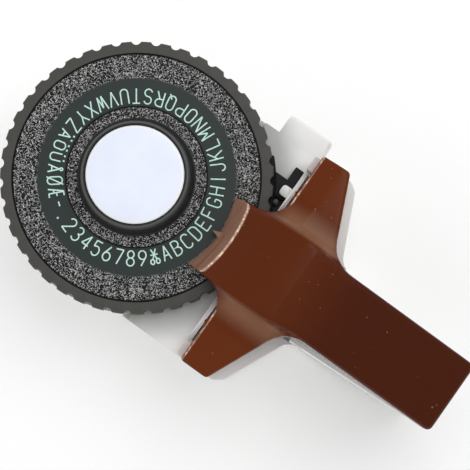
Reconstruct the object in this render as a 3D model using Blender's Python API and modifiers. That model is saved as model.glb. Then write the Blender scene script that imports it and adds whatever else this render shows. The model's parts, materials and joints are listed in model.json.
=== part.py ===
"""Embossing label maker: a dial of characters over a tape magazine, squeezed by a lever.

Metres, +Z up. The drawing's own axes start under the dial: x runs along the grip, y runs to
the side where the tape comes out, and z is the height above the table. An empty moves the
whole drawing so that the middle of its box stands at the world's origin.
"""

import math

import bmesh
import bpy
from mathutils import Matrix, Vector

# Driving sizes of the whole machine
CHARACTERS = 43
DIAL_RADIUS = 0.0420
TAPE_WIDTH = 0.0090
TAPE_THICKNESS = 0.00025
WALL = 0.0020
GAP = 0.0003
OVERRUN = 0.0010
SQUEEZE_ANGLE = math.radians(14)
PITCH_ANGLE = 2 * math.pi / CHARACTERS

# The box's sides stand in from the dial's rim, and the tape's station from its edge
DIAL_OVERHANG = 0.0048
BASE_HALF = DIAL_RADIUS - DIAL_OVERHANG
BASE_INNER = BASE_HALF - WALL
STATION_INSET = 0.0060
STATION_RADIUS = DIAL_RADIUS - STATION_INSET
CHUTE_LENGTH = 0.0068
CHUTE_END_Y = BASE_HALF + CHUTE_LENGTH

# The tape roll fills the box from its side to the hammer's bay, and the deck lies over it
HAMMER_BAY = 0.0066
ROLL_RADIUS = (BASE_INNER - HAMMER_BAY) / 2
ROLL_CLEARANCE = 0.0029
ROLL_Z = ROLL_RADIUS + ROLL_CLEARANCE
TAPE_Z = ROLL_Z + ROLL_RADIUS + ROLL_CLEARANCE
BEND_RADIUS = 0.0030
RISE_Y = -(BASE_INNER - GAP - TAPE_THICKNESS / 2)
ROLL_Y = RISE_Y + TAPE_THICKNESS / 2 + GAP + ROLL_RADIUS

# Heights of the layers round the tape, from the deck down and up
TAPE_TOP_Z = TAPE_Z + TAPE_THICKNESS
DECK_CLEARANCE = 0.00035
DECK_LOW_Z = TAPE_TOP_Z + DECK_CLEARANCE
DECK_THICKNESS = 0.0020
DECK_TOP_Z = DECK_LOW_Z + DECK_THICKNESS
RIM_CLEARANCE = 0.0005
RIM_HEIGHT = 0.0060
RIM_LOW_Z = DECK_TOP_Z + RIM_CLEARANCE
DIAL_TOP_Z = RIM_LOW_Z + RIM_HEIGHT
HOUSING_TOP_Z = DECK_LOW_Z - GAP

# The dial's rings, as radii
RIM_LIP = 0.0022
DIE_OUTER = DIAL_RADIUS - RIM_LIP
DIE_WIDTH = 0.0088
DIE_INNER = DIE_OUTER - DIE_WIDTH
DIE_CLEARANCE = 0.0004
DECK_CUTOUT = DIE_OUTER + DIE_CLEARANCE
DISC_CLEARANCE = 0.0004
DISC_THICKNESS = 0.0014
DISC_RADIUS = DIE_OUTER - DIE_CLEARANCE / 2
DISC_TOP_Z = TAPE_Z - DISC_CLEARANCE
DISC_LOW_Z = DISC_TOP_Z - DISC_THICKNESS
POST_RADIUS = 0.0040
DIAL_BORE = POST_RADIUS + GAP

# The pan that the dial turns over
PAN_CLEARANCE = 0.0011
PAN_FLOOR_Z = DISC_LOW_Z - PAN_CLEARANCE
PAN_OUTER = DIAL_RADIUS - GAP
HULL_RADIUS = DIAL_RADIUS - 2 * WALL

# The lever's hinge, just behind the dial's rim
HUB_RADIUS = 0.0032
PIVOT_SETBACK = 0.0075
PIVOT_X = DIAL_RADIUS + PIVOT_SETBACK
PIVOT_Z = DECK_TOP_Z + GAP + HUB_RADIUS
PIN_RADIUS = 0.0015
PIN_BORE = PIN_RADIUS + GAP

# The lever's outline
LEVER_REACH = 0.0675
LEVER_END_X = PIVOT_X + LEVER_REACH
NOSE_HALF = 0.0136
NOSE_TAPER = 0.0012
GRIP_HALF = 0.0122
WING_HALF = BASE_HALF + GAP
WING_CLEARANCE = 0.0013
WING_FRONT_X = DIAL_RADIUS + WING_CLEARANCE
WING_TIP_WIDTH = 0.0097
WING_BACK_X = WING_FRONT_X + WING_TIP_WIDTH
WING_SLANT = 0.0112
WING_ROOT_X = WING_BACK_X + WING_SLANT
NOSE_CLEARANCE = 0.0008
NOSE_LOW_Z = DIAL_TOP_Z + NOSE_CLEARANCE
NOSE_HEIGHT = 0.0067
NOSE_TOP_Z = NOSE_LOW_Z + NOSE_HEIGHT
NOSE_SETBACK = 0.0117
NOSE_LOW_RADIUS = DIAL_RADIUS - NOSE_SETBACK
NOSE_LEAN = 0.0056
NOSE_TOP_RADIUS = NOSE_LOW_RADIUS + NOSE_LEAN
RIDGE_SETBACK = 0.0065
RIDGE_X = PIVOT_X + RIDGE_SETBACK
RIDGE_HEIGHT = 0.0205
RIDGE_Z = PIVOT_Z + RIDGE_HEIGHT
EAR_DEPTH = 0.0030

# The box that the front of the base makes, and the grip behind it
BOX_LENGTH = 0.0369
BOX_SETBACK = 0.0078
BOX_BACK_X = PIVOT_X + BOX_SETBACK
BOX_FRONT_X = BOX_BACK_X - BOX_LENGTH
BASE_GRIP_MARGIN = 0.0017
BASE_GRIP_HALF = GRIP_HALF + BASE_GRIP_MARGIN
BASE_GRIP_SETBACK = 0.0040
BASE_GRIP_END_X = LEVER_END_X - BASE_GRIP_SETBACK

# The feed roller
FEED_INSET = 0.0092
FEED_Y = BASE_HALF - FEED_INSET
FEED_RADIUS = 0.0040
FEED_Z = TAPE_Z - GAP - FEED_RADIUS

# The cutter
CUTTER_SETBACK = 0.0015
CUTTER_Y = BASE_HALF + CUTTER_SETBACK
CUTTER_THICKNESS = 0.0006

# The detent beside the dial
DETENT_ANGLE = 3 * PITCH_ANGLE


def new_collection(name):
    collection = bpy.data.collections.new(name)
    bpy.context.scene.collection.children.link(collection)
    return collection


def new_material(name, colour, roughness, metallic=0.0):
    material = bpy.data.materials.new(name)
    material.use_nodes = True
    shader = material.node_tree.nodes["Principled BSDF"]
    shader.inputs["Base Color"].default_value = (*colour, 1)
    shader.inputs["Roughness"].default_value = roughness
    shader.inputs["Metallic"].default_value = metallic
    return material


# Shapes


def mesh_object(name, mesh):
    shape = bpy.data.objects.new(name, mesh)
    parts.objects.link(shape)
    return shape


def settle(shape):
    """A new object with this one's modifiers and curve made into a clean mesh."""
    bpy.context.view_layer.update()
    graph = bpy.context.evaluated_depsgraph_get()
    mesh = bpy.data.meshes.new_from_object(shape.evaluated_get(graph))
    edit = bmesh.new()
    edit.from_mesh(mesh)
    bmesh.ops.remove_doubles(edit, verts=edit.verts, dist=1e-6)
    bmesh.ops.recalc_face_normals(edit, faces=edit.faces)
    edit.to_mesh(mesh)
    edit.free()
    name = shape.name
    bpy.data.objects.remove(shape)
    return mesh_object(name, mesh)


# Turns of axes, so that an outline drawn flat stands up facing y or x
STANDING = {
    "xy": Matrix(((1, 0, 0), (0, 1, 0), (0, 0, 1))).to_4x4(),
    "xz": Matrix(((1, 0, 0), (0, 0, -1), (0, 1, 0))).to_4x4(),
    "yz": Matrix(((0, 0, 1), (1, 0, 0), (0, 1, 0))).to_4x4(),
}
THROUGH = {"xy": Vector((0, 0, 1)), "xz": Vector((0, 1, 0)), "yz": Vector((1, 0, 0))}


def flat(outline, low, high, plane="xy", holes=()):
    """A slab with this outline and holes, from low to high along the plane's third axis."""
    curve = bpy.data.curves.new("outline", "CURVE")
    curve.dimensions = "2D"
    curve.fill_mode = "BOTH"
    curve.extrude = (high - low) / 2
    for ring in (outline, *holes):
        spline = curve.splines.new("POLY")
        spline.points.add(len(ring) - 1)
        for point, (across, up) in zip(spline.points, ring):
            point.co = (across, up, 0, 1)
        spline.use_cyclic_u = True
    slab = bpy.data.objects.new("slab", curve)
    parts.objects.link(slab)
    slab = settle(slab)
    slab.data.transform(STANDING[plane])
    slab.data.transform(Matrix.Translation(THROUGH[plane] * ((low + high) / 2)))
    return slab


def rounded(corners, steps=4):
    """The outline through (across, up, radius) corners, with an arc at each that has a radius."""
    outline = []
    for index, (across, up, radius) in enumerate(corners):
        corner = Vector((across, up))
        if radius == 0:
            outline.append((across, up))
            continue
        before = Vector(corners[index - 1][:2]) - corner
        after = Vector(corners[(index + 1) % len(corners)][:2]) - corner
        half = before.angle(after) / 2
        before.normalize()
        after.normalize()
        reach = radius / math.tan(half)
        middle = corner + (before + after).normalized() * (radius / math.sin(half))
        start = corner + before * reach - middle
        turn = start.angle_signed(corner + after * reach - middle)
        for step in range(steps + 1):
            point = start.copy()
            point.rotate(Matrix.Rotation(-turn * step / steps, 2))
            outline.append(tuple(middle + point))
    return outline


def mirrored(half):
    """A whole outline from its y > 0 half, given front to back."""
    return half + [(across, -up) for across, up in reversed(half)]


def circle(across, up, radius, sides):
    angles = [2 * math.pi * side / sides for side in range(sides)]
    return [(across + radius * math.cos(a), up + radius * math.sin(a)) for a in angles]


def box(low, high):
    edit = bmesh.new()
    bmesh.ops.create_cube(edit, size=1)
    mesh = bpy.data.meshes.new("box")
    edit.to_mesh(mesh)
    edit.free()
    low, high = Vector(low), Vector(high)
    mesh.transform(Matrix.LocRotScale((low + high) / 2, None, high - low))
    return mesh_object("box", mesh)


def rod(axis, centre, radius, low, high, sides=20):
    """A cylinder along the axis letter, through centre, from low to high along that axis."""
    edit = bmesh.new()
    bmesh.ops.create_cone(
        edit, cap_ends=True, segments=sides, radius1=radius, radius2=radius, depth=high - low
    )
    mesh = bpy.data.meshes.new("rod")
    edit.to_mesh(mesh)
    edit.free()
    plane = {"x": "yz", "y": "xz", "z": "xy"}[axis]
    mesh.transform(STANDING[plane])
    place = Vector(centre)
    place["xyz".index(axis)] = (low + high) / 2
    mesh.transform(Matrix.Translation(place))
    mesh.shade_smooth()
    mesh.set_sharp_from_angle(angle=math.radians(40))
    return mesh_object("rod", mesh)


def turned(profile, steps, closed=False):
    """A solid turned about z from (radius, height) points, outer side top to bottom."""
    mesh = bpy.data.meshes.new("profile")
    edges = [(index, index + 1) for index in range(len(profile) - 1)]
    if closed:
        edges.append((len(profile) - 1, 0))
    mesh.from_pydata([(radius, 0, height) for radius, height in profile], edges, [])
    shape = mesh_object("turned", mesh)
    screw = shape.modifiers.new("turn", "SCREW")
    screw.steps = screw.render_steps = steps
    screw.use_merge_vertices = True
    screw.merge_threshold = 1e-6
    shape = settle(shape)
    shape.data.shade_smooth()
    shape.data.set_sharp_from_angle(angle=math.radians(35))
    return shape


def soften(shape, width, segments, chosen):
    """Rounds the edges whose two ends satisfy chosen(point)."""
    edit = bmesh.new()
    edit.from_mesh(shape.data)
    bmesh.ops.dissolve_limit(
        edit, angle_limit=math.radians(0.5), verts=edit.verts, edges=edit.edges
    )
    edges = [
        edge
        for edge in edit.edges
        if edge.calc_face_angle(0) > math.radians(25) and all(chosen(v.co) for v in edge.verts)
    ]
    bmesh.ops.bevel(
        edit, geom=edges, offset=width, segments=segments, profile=0.5, affect="EDGES"
    )
    edit.to_mesh(shape.data)
    edit.free()
    return shape


def combine(body, tool, operation):
    modifier = body.modifiers.new(operation.lower(), "BOOLEAN")
    modifier.operation = operation
    modifier.object = tool
    parts.objects.unlink(tool)
    cutters.objects.link(tool)
    tool.hide_render = True
    tool.display_type = "WIRE"
    return body


def fuse(body, *tools):
    for tool in tools:
        combine(body, tool, "UNION")
    return body


def cut(body, *tools):
    for tool in tools:
        combine(body, tool, "DIFFERENCE")
    return body


def meet(body, *tools):
    for tool in tools:
        combine(body, tool, "INTERSECT")
    return body


def joined(name, shapes):
    """One object holding several separate solids."""
    edit = bmesh.new()
    for shape in shapes:
        shape = settle(shape)
        edit.from_mesh(shape.data)
        bpy.data.objects.remove(shape)
    mesh = bpy.data.meshes.new(name)
    edit.to_mesh(mesh)
    edit.free()
    return mesh_object(name, mesh)


def finish(shape, name, material, axis):
    """Names a piece, gives it its material and hangs it on its joint's empty."""
    shape.name = name
    shape.data.name = name
    shape.data.materials.clear()
    shape.data.materials.append(material)
    shape.parent = axis
    if axis is not drawing:
        shape.location = -axis.location
    return shape


def axis_empty(name, place):
    empty = bpy.data.objects.new(name, None)
    empty.empty_display_size = DIAL_RADIUS / 4
    parts.objects.link(empty)
    empty.location = place
    return empty


# Sizes that the base shares with what it carries

BOX_ROOT_SETBACK = 0.0097
BOX_ROOT_X = BOX_BACK_X + BOX_ROOT_SETBACK
BOX_END_SETBACK = 0.0142
BOX_END_X = BOX_BACK_X + BOX_END_SETBACK
LEVER_WELL_SETBACK = 0.0055
LEVER_WELL_X = PIVOT_X + LEVER_WELL_SETBACK
LEVER_WELL_HALF = NOSE_HALF + 2 * GAP
GRIP_ROOT_DROP = 0.0047
GRIP_TOP_ROOT_Z = HOUSING_TOP_Z - GRIP_ROOT_DROP
LEVER_WELL_Z = GRIP_TOP_ROOT_Z - WALL
GRIP_FALL = 0.0135
GRIP_TOP_END_Z = GRIP_TOP_ROOT_Z - GRIP_FALL
GRIP_LOW_END_Z = 0.0060
GRIP_HEEL_SETBACK = 0.0127
GRIP_HEEL_X = BOX_BACK_X + GRIP_HEEL_SETBACK
PLATE_FRONT_REACH = 0.0086
PLATE_FRONT_X = STATION_RADIUS - PLATE_FRONT_REACH
PLATE_BACK_REACH = 0.0080
PLATE_BACK_X = STATION_RADIUS + PLATE_BACK_REACH
PLATE_THICKNESS = 0.0018
PLATE_END_X = PLATE_BACK_X + PLATE_THICKNESS
GUIDE_Y = RISE_Y + BEND_RADIUS
GUIDE_Z = TAPE_Z + TAPE_THICKNESS / 2 - BEND_RADIUS
GUIDE_JOURNAL = 0.0012
SPOOL_PIN_RADIUS = 0.0020
DOOR_PIN_RADIUS = 0.0007
DOOR_PIN_INSET = 0.0023
DOOR_PIN_Y = DOOR_PIN_INSET - BASE_INNER
DOOR_PIN_Z = WALL
DOOR_FREE_Y = -WALL
FEED_SHAFT_RADIUS = 0.00125
FEED_FRONT_REACH = 0.0120
FEED_FRONT_X = STATION_RADIUS - FEED_FRONT_REACH
FEED_BACK_X = PLATE_BACK_X + GAP
FEED_END_X = FEED_BACK_X + PLATE_THICKNESS
SPRING_SETBACK = 0.0165
SPRING_X = PIVOT_X + SPRING_SETBACK
SPRING_SEAT_DROP = 0.0132
SPRING_LOW_Z = PIVOT_Z - SPRING_SEAT_DROP
SPRING_RISE = 0.0092
SPRING_TOP_Z = PIVOT_Z + SPRING_RISE
SPRING_SEAT_RADIUS = 0.0052
SPRING_PEG_RADIUS = 0.0026
SPRING_PEG_HEIGHT = 0.0040
SCREW_SHANK = 0.0010
SCREW_BORE = SCREW_SHANK + GAP
SCREW_HEAD = 0.0022
SCREW_HEAD_HEIGHT = 0.0015
SCREW_POST = 0.0028
SCREW_DEPTH = 0.0014
FRONT_SCREW_REACH = 0.0085
FRONT_SCREW_X = STATION_RADIUS - FRONT_SCREW_REACH
FRONT_SCREW_INSET = 0.0042
FRONT_SCREW_Y = BASE_HALF - FRONT_SCREW_INSET
BACK_SCREW_SETBACK = 0.0035
BACK_SCREW_X = PIVOT_X + BACK_SCREW_SETBACK
BACK_SCREW_Y = FEED_Y
SCREW_PLACES = (
    (FRONT_SCREW_X, FRONT_SCREW_Y),
    (BACK_SCREW_X, BACK_SCREW_Y),
    (BACK_SCREW_X, -BACK_SCREW_Y),
)
SMALL_SHANK = 0.0008
SMALL_BORE = SMALL_SHANK + GAP
SMALL_HEAD = 0.0012
SMALL_HEAD_HEIGHT = 0.0010
TAPE_LOW_X = STATION_RADIUS - TAPE_WIDTH / 2
TAPE_HIGH_X = STATION_RADIUS + TAPE_WIDTH / 2
CHUTE_FRONT_REACH = 0.0087
CHUTE_LOW_X = STATION_RADIUS - CHUTE_FRONT_REACH
CHUTE_BACK_REACH = 0.0068
CHUTE_HIGH_X = STATION_RADIUS + CHUTE_BACK_REACH
BLADE_LOW_X = TAPE_LOW_X - 2 * GAP
BLADE_HIGH_X = TAPE_HIGH_X + 2 * GAP
ARM_HALF = 0.0030
ANVIL_LEG_X = DIAL_RADIUS + OVERRUN
ANVIL_THICKNESS = 0.0015
ANVIL_FOOT_THICKNESS = 0.0012
ANVIL_HALF = 0.0080
ANVIL_LEG_HALF = 0.0050
ANVIL_FOOT = 0.0045
ANVIL_FOOT_X = ANVIL_LEG_X + ANVIL_FOOT
ANVIL_SCREW_X = ANVIL_LEG_X + 2 * ANVIL_FOOT / 3
ANVIL_SCREW_Y = (ANVIL_HALF + ANVIL_LEG_HALF) / 2
GUIDE_BLOCK_LOW_Z = DECK_TOP_Z + GAP
GUIDE_BLOCK_HEIGHT = 0.0025
GUIDE_BLOCK_TOP_Z = GUIDE_BLOCK_LOW_Z + GUIDE_BLOCK_HEIGHT
GUIDE_NEAR_SHARE = 0.357
GUIDE_MIDDLE_SHARE = 0.543
GUIDE_SHOULDER_SHARE = 0.624
GUIDE_FAR_SHARE = 0.738
DETENT_HALF = 0.00085
DETENT_FLOOR = 0.0006
EAR_TIP_WIDTH = 0.0052
EAR_TIP_Y = WING_HALF - OVERRUN - EAR_TIP_WIDTH
STRIP_OVERLAP = 0.0008
STRIP_THICKNESS = 0.0014
WALL_STRIP_LOW_X = DIAL_RADIUS - STRIP_OVERLAP
WALL_STRIP_HIGH_X = WALL_STRIP_LOW_X + STRIP_THICKNESS


# Base


def box_outline(inset, front_x, end_x):
    """The plan of the box: straight sides, tapered back corners and a fillet to the grip."""
    corner_run = 0.0028
    corner_drop = 0.0021
    corner_radius = 0.0020
    fillet = 0.0052
    side = BASE_HALF - inset
    return mirrored(
        rounded(
            [
                (front_x, side, 0),
                (BOX_BACK_X - corner_run - inset / 2, side, corner_radius),
                (BOX_BACK_X - inset / 2, side - corner_drop, corner_radius),
                (BOX_ROOT_X - inset, BASE_GRIP_HALF - inset, fillet),
                (end_x, BASE_GRIP_HALF - inset, 0),
            ]
        )
    )


def hull_profile(inset):
    """The side view of the hull under the dial, from the box forward and up to the pan."""
    run_and_rise_shares = [
        (1.00, 0.00),
        (0.84, 0.02),
        (0.68, 0.16),
        (0.46, 0.44),
        (0.18, 0.78),
        (0.00, 0.96),
        (0.00, 1.00),
        (1.00, 1.00),
    ]
    slope_wall = 2.5
    back = BOX_FRONT_X + 2 * WALL
    front = slope_wall * inset - HULL_RADIUS
    top = PAN_FLOOR_Z - GAP - inset
    return [
        (front + run * (back - front), inset + rise * (top - inset))
        for run, rise in run_and_rise_shares
    ]


def hull_solid(inset, sides=48):
    tall = rod("z", (0, 0, 0), HULL_RADIUS - inset, -OVERRUN, DECK_TOP_Z, sides)
    return meet(tall, flat(hull_profile(inset), -DIAL_RADIUS, DIAL_RADIUS, "xz"))


def grip_top_z(x):
    """Height of the lower grip's upper edge."""
    share = (x - BOX_BACK_X) / (BASE_GRIP_END_X - BOX_BACK_X)
    return GRIP_TOP_ROOT_Z + share * (GRIP_TOP_END_Z - GRIP_TOP_ROOT_Z)


def grip_solid(inset, top):
    """The lower grip, or with an inset and a high top, the hollow in it."""
    end_taper = 0.0021
    end_half = BASE_GRIP_HALF - end_taper
    low_radius = 0.0025
    high_radius = 0.0035
    plan_radius = 0.0045
    end_x = BASE_GRIP_END_X - inset
    start_x = BOX_BACK_X - WALL
    side = rounded(
        [
            (start_x, inset, 0),
            (GRIP_HEEL_X, inset, 0),
            (end_x, GRIP_LOW_END_Z + inset, low_radius),
            (end_x, GRIP_TOP_END_Z + top, high_radius),
            (start_x, grip_top_z(start_x) + top, 0),
        ]
    )
    plan = mirrored(
        rounded(
            [
                (start_x - OVERRUN, BASE_GRIP_HALF - inset, 0),
                (end_x + OVERRUN, end_half - inset, plan_radius),
                (end_x + OVERRUN, 0, 0),
            ]
        )[:-1]
    )
    tall = flat(plan, -OVERRUN, 2 * DIAL_TOP_Z)
    return meet(flat(side, -BASE_HALF, BASE_HALF, "xz"), tall)


def bracket_plate(low_x):
    """A wall in the magazine that carries the spool pin, the guide pin and the door's pin."""
    pin_surround = 0.0070
    inner_y = ROLL_Y + pin_surround
    low_top = ROLL_Z + pin_surround
    guide_surround = 0.0022
    step_y = GUIDE_Y + guide_surround
    outer_y = WALL / 2 - BASE_HALF
    top = HOUSING_TOP_Z - GAP
    outline = [
        (outer_y, WALL / 2 - GAP),
        (inner_y, WALL / 2 - GAP),
        (inner_y, low_top),
        (step_y, DISC_LOW_Z - 2 * GAP),
        (step_y, top),
        (outer_y, top),
    ]
    return flat(outline, low_x, low_x + PLATE_THICKNESS, "yz")


def feed_plate(low_x, top):
    half = 0.0035
    low = (low_x, FEED_Y - half, WALL / 2)
    return box(low, (low_x + PLATE_THICKNESS, FEED_Y + half, top))


def pin_bore(y, z, radius, low_x=PLATE_FRONT_X, high_x=PLATE_END_X):
    return rod("x", (0, y, z), radius + GAP, low_x - OVERRUN, high_x + OVERRUN, 16)


def base_housing(material):
    body = flat(box_outline(0, BOX_FRONT_X, BOX_END_X), 0, HOUSING_TOP_Z)
    drop = 2 * GAP
    slope = (GRIP_TOP_END_Z - GRIP_TOP_ROOT_Z) / (BASE_GRIP_END_X - BOX_BACK_X)
    trim_end_x = BOX_END_X + WALL
    trim_z = grip_top_z(BOX_ROOT_X) - drop
    trim = [
        (BOX_ROOT_X, trim_z),
        (trim_end_x, trim_z + slope * (trim_end_x - BOX_ROOT_X)),
        (trim_end_x, DIAL_TOP_Z),
        (BOX_ROOT_X, DIAL_TOP_Z),
    ]
    cut(body, flat(trim, -DIAL_RADIUS, DIAL_RADIUS, "xz"))
    pan_back_x = BOX_FRONT_X + WALL - GAP
    pan = rod("z", (0, 0, 0), PAN_OUTER, PAN_FLOOR_Z - WALL, DECK_TOP_Z, 64)
    far = 2 * DIAL_RADIUS
    cut(pan, box((pan_back_x, -far, -OVERRUN), (far, far, 2 * DECK_TOP_Z)))
    fuse(body, hull_solid(0), pan, grip_solid(0, 0))

    # The hollows of the box, the hull, the pan and the grip, and room for the lever
    well_low = (LEVER_WELL_X, -LEVER_WELL_HALF, LEVER_WELL_Z)
    cut(
        body,
        flat(box_outline(WALL, BOX_FRONT_X + WALL, BOX_END_X + OVERRUN), WALL, DIAL_TOP_Z),
        hull_solid(WALL),
        rod("z", (0, 0, 0), DECK_CUTOUT, PAN_FLOOR_Z, DIAL_TOP_Z, 64),
        grip_solid(WALL, DIAL_TOP_Z),
        box(well_low, (far, LEVER_WELL_HALF, DIAL_TOP_Z)),
    )

    # Brackets, screw posts and the spring's seat
    fuse(
        body,
        bracket_plate(PLATE_FRONT_X),
        bracket_plate(PLATE_BACK_X),
        feed_plate(FEED_FRONT_X, DISC_LOW_Z - 2 * GAP),
        feed_plate(FEED_BACK_X, HOUSING_TOP_Z - 2 * GAP),
    )
    for x, y in SCREW_PLACES:
        fuse(body, rod("z", (x, y, 0), SCREW_POST, WALL / 2, HOUSING_TOP_Z - GAP, 16))
    seat_top = SPRING_LOW_Z - GAP
    fuse(
        body,
        rod("z", (SPRING_X, 0, 0), SPRING_SEAT_RADIUS, WALL / 2, seat_top, 20),
        rod("z", (SPRING_X, 0, 0), SPRING_PEG_RADIUS, WALL, seat_top + SPRING_PEG_HEIGHT, 16),
    )

    # Bores, the door's opening and the tape's way out
    cut(
        body,
        pin_bore(ROLL_Y, ROLL_Z, SPOOL_PIN_RADIUS),
        pin_bore(GUIDE_Y, GUIDE_Z, GUIDE_JOURNAL),
        pin_bore(DOOR_PIN_Y, DOOR_PIN_Z, DOOR_PIN_RADIUS),
        pin_bore(FEED_Y, FEED_Z, FEED_SHAFT_RADIUS, FEED_FRONT_X, FEED_END_X),
        box(
            (PLATE_FRONT_X + PLATE_THICKNESS + GAP, -BASE_INNER, -OVERRUN),
            (PLATE_BACK_X - GAP, DOOR_FREE_Y + GAP, WALL + OVERRUN),
        ),
        box(
            (TAPE_LOW_X - GAP, BASE_INNER - OVERRUN, TAPE_Z - 2 * GAP),
            (TAPE_HIGH_X + GAP, BASE_HALF + OVERRUN, DIAL_TOP_Z),
        ),
    )
    for x, y in SCREW_PLACES:
        cut(
            body,
            rod("z", (x, y, 0), SCREW_BORE, -OVERRUN, HOUSING_TOP_Z + OVERRUN, 16),
            rod("z", (x, y, 0), SCREW_HEAD + GAP, -OVERRUN, SCREW_HEAD_HEIGHT + 2 * GAP, 16),
        )
    return finish(body, "base_housing", material, drawing)


def deck_outline():
    """The deck's plan: the box's own, with the tongue that roofs the tape's exit."""
    front_x = BOX_FRONT_X + WALL
    tongue_radius = 0.0016
    plain = box_outline(0, front_x, BOX_END_X - OVERRUN)
    tongue = rounded(
        [
            (CHUTE_LOW_X, BASE_HALF, 0),
            (CHUTE_LOW_X, CHUTE_END_Y, tongue_radius),
            (CHUTE_HIGH_X, CHUTE_END_Y, tongue_radius / 2),
            (CHUTE_HIGH_X, BASE_HALF, 0),
        ]
    )
    return plain[:1] + tongue + plain[1:]


def pillow_block(side):
    """A block on the deck, round the lever's pin."""
    half = 0.0030
    rounding = 0.0027
    thickness = 0.0040
    outer_y = WING_HALF - EAR_DEPTH - rounding
    inner_y = outer_y - thickness
    low_z = DECK_LOW_Z + GAP
    block = rounded(
        [
            (PIVOT_X - half, low_z, 0),
            (PIVOT_X + half, low_z, 0),
            (PIVOT_X + half, PIVOT_Z + half, rounding),
            (PIVOT_X - half, PIVOT_Z + half, rounding),
        ]
    )
    ends = sorted((side * inner_y, side * outer_y))
    return flat(block, *ends, "xz")


def deck_plate(material):
    strip_top = DIAL_TOP_Z - OVERRUN / 2
    strip_inner_y = NOSE_HALF + WALL
    strip_outer_y = EAR_TIP_Y - GAP
    arm_slot_front = 0.0071
    arm_slot_back = 0.0025
    arm_slot_half = ARM_HALF + OVERRUN + GAP
    lip_radius = 0.0008
    tab_side = 0.0034
    tab_thickness = 0.0012
    tab_corner = 0.0010
    tab_y = GUIDE_MIDDLE_SHARE * DIAL_RADIUS
    tab_low_z = GUIDE_BLOCK_TOP_Z + GAP
    body = flat(deck_outline(), DECK_LOW_Z, DECK_TOP_Z)
    lip_y = CHUTE_END_Y - 2 * lip_radius
    soften(body, lip_radius, 2, lambda p: p.y > lip_y and p.z > DECK_TOP_Z - GAP)
    for side in (-1, 1):
        ends = sorted((side * strip_inner_y, side * strip_outer_y))
        strip = box(
            (WALL_STRIP_LOW_X, ends[0], DECK_LOW_Z + GAP), (WALL_STRIP_HIGH_X, ends[1], strip_top)
        )
        fuse(body, strip, pillow_block(side))
    tab = rounded(
        [
            (WALL_STRIP_LOW_X + GAP, tab_y - tab_side / 2, 0),
            (WALL_STRIP_LOW_X + GAP, tab_y + tab_side / 2, 0),
            (WALL_STRIP_LOW_X + GAP - tab_side, tab_y + tab_side / 2, tab_corner),
            (WALL_STRIP_LOW_X + GAP - tab_side, tab_y - tab_side / 2, tab_corner),
        ]
    )
    fuse(body, flat(tab, tab_low_z, tab_low_z + tab_thickness))
    far = 2 * DIAL_RADIUS
    blade_half = CUTTER_THICKNESS / 2 + GAP
    cut(
        body,
        rod("z", (0, 0, 0), DECK_CUTOUT, DECK_LOW_Z - OVERRUN, DECK_TOP_Z + OVERRUN, 96),
        box((LEVER_WELL_X, -LEVER_WELL_HALF, 0), (far, LEVER_WELL_HALF, far)),
        box(
            (PIVOT_X - arm_slot_front, -arm_slot_half, DECK_LOW_Z - OVERRUN),
            (PIVOT_X + arm_slot_back, arm_slot_half, DECK_TOP_Z + OVERRUN),
        ),
        box(
            (BLADE_LOW_X - GAP, CUTTER_Y - blade_half, DECK_LOW_Z - OVERRUN),
            (BLADE_HIGH_X + GAP, CUTTER_Y + blade_half, DECK_LOW_Z + DECK_THICKNESS / 2),
        ),
        rod("y", (PIVOT_X, 0, PIVOT_Z), PIN_BORE, -far, far, 16),
    )
    for x, y in SCREW_PLACES:
        hole_top = DECK_LOW_Z + SCREW_DEPTH
        cut(body, rod("z", (x, y, 0), SCREW_BORE, DECK_LOW_Z - OVERRUN, hole_top, 16))
    for y in (-ANVIL_SCREW_Y, ANVIL_SCREW_Y):
        hole_low = DECK_TOP_Z - SCREW_DEPTH
        cut(body, rod("z", (ANVIL_SCREW_X, y, 0), SMALL_BORE, hole_low, DECK_TOP_Z + OVERRUN, 12))
    return finish(body, "deck_plate", material, drawing)


def tape_exit_chute(material):
    inner_depth = 0.0169
    outer_depth = 0.0085
    inner_low_z = HOUSING_TOP_Z - inner_depth
    outer_low_z = HOUSING_TOP_Z - outer_depth
    outer_y = CHUTE_END_Y - GAP
    side = [
        (BASE_HALF + GAP, inner_low_z),
        (outer_y, outer_low_z),
        (outer_y, HOUSING_TOP_Z),
        (BASE_HALF + GAP, HOUSING_TOP_Z),
    ]
    body = flat(side, CHUTE_LOW_X, CHUTE_HIGH_X, "yz")
    blade_half = CUTTER_THICKNESS / 2 + GAP
    cut(
        body,
        box(
            (TAPE_LOW_X - GAP, BASE_HALF, TAPE_Z - GAP),
            (TAPE_HIGH_X + GAP, CHUTE_END_Y + OVERRUN, DECK_TOP_Z),
        ),
        box(
            (BLADE_LOW_X - GAP, CUTTER_Y - blade_half, 0),
            (BLADE_HIGH_X + GAP, CUTTER_Y + blade_half, DECK_TOP_Z + OVERRUN),
        ),
    )
    return finish(body, "tape_exit_chute", material, drawing)


DETENT_SLOT_Z = GUIDE_BLOCK_LOW_Z + DETENT_FLOOR


def radial_bar(low_radius, high_radius, half, low_z, high_z):
    """A bar that points away from the dial's axis at the detent's angle."""
    bar = box((low_radius, -half, low_z), (high_radius, half, high_z))
    bar.data.transform(Matrix.Rotation(DETENT_ANGLE, 4, "Z"))
    return bar


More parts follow.
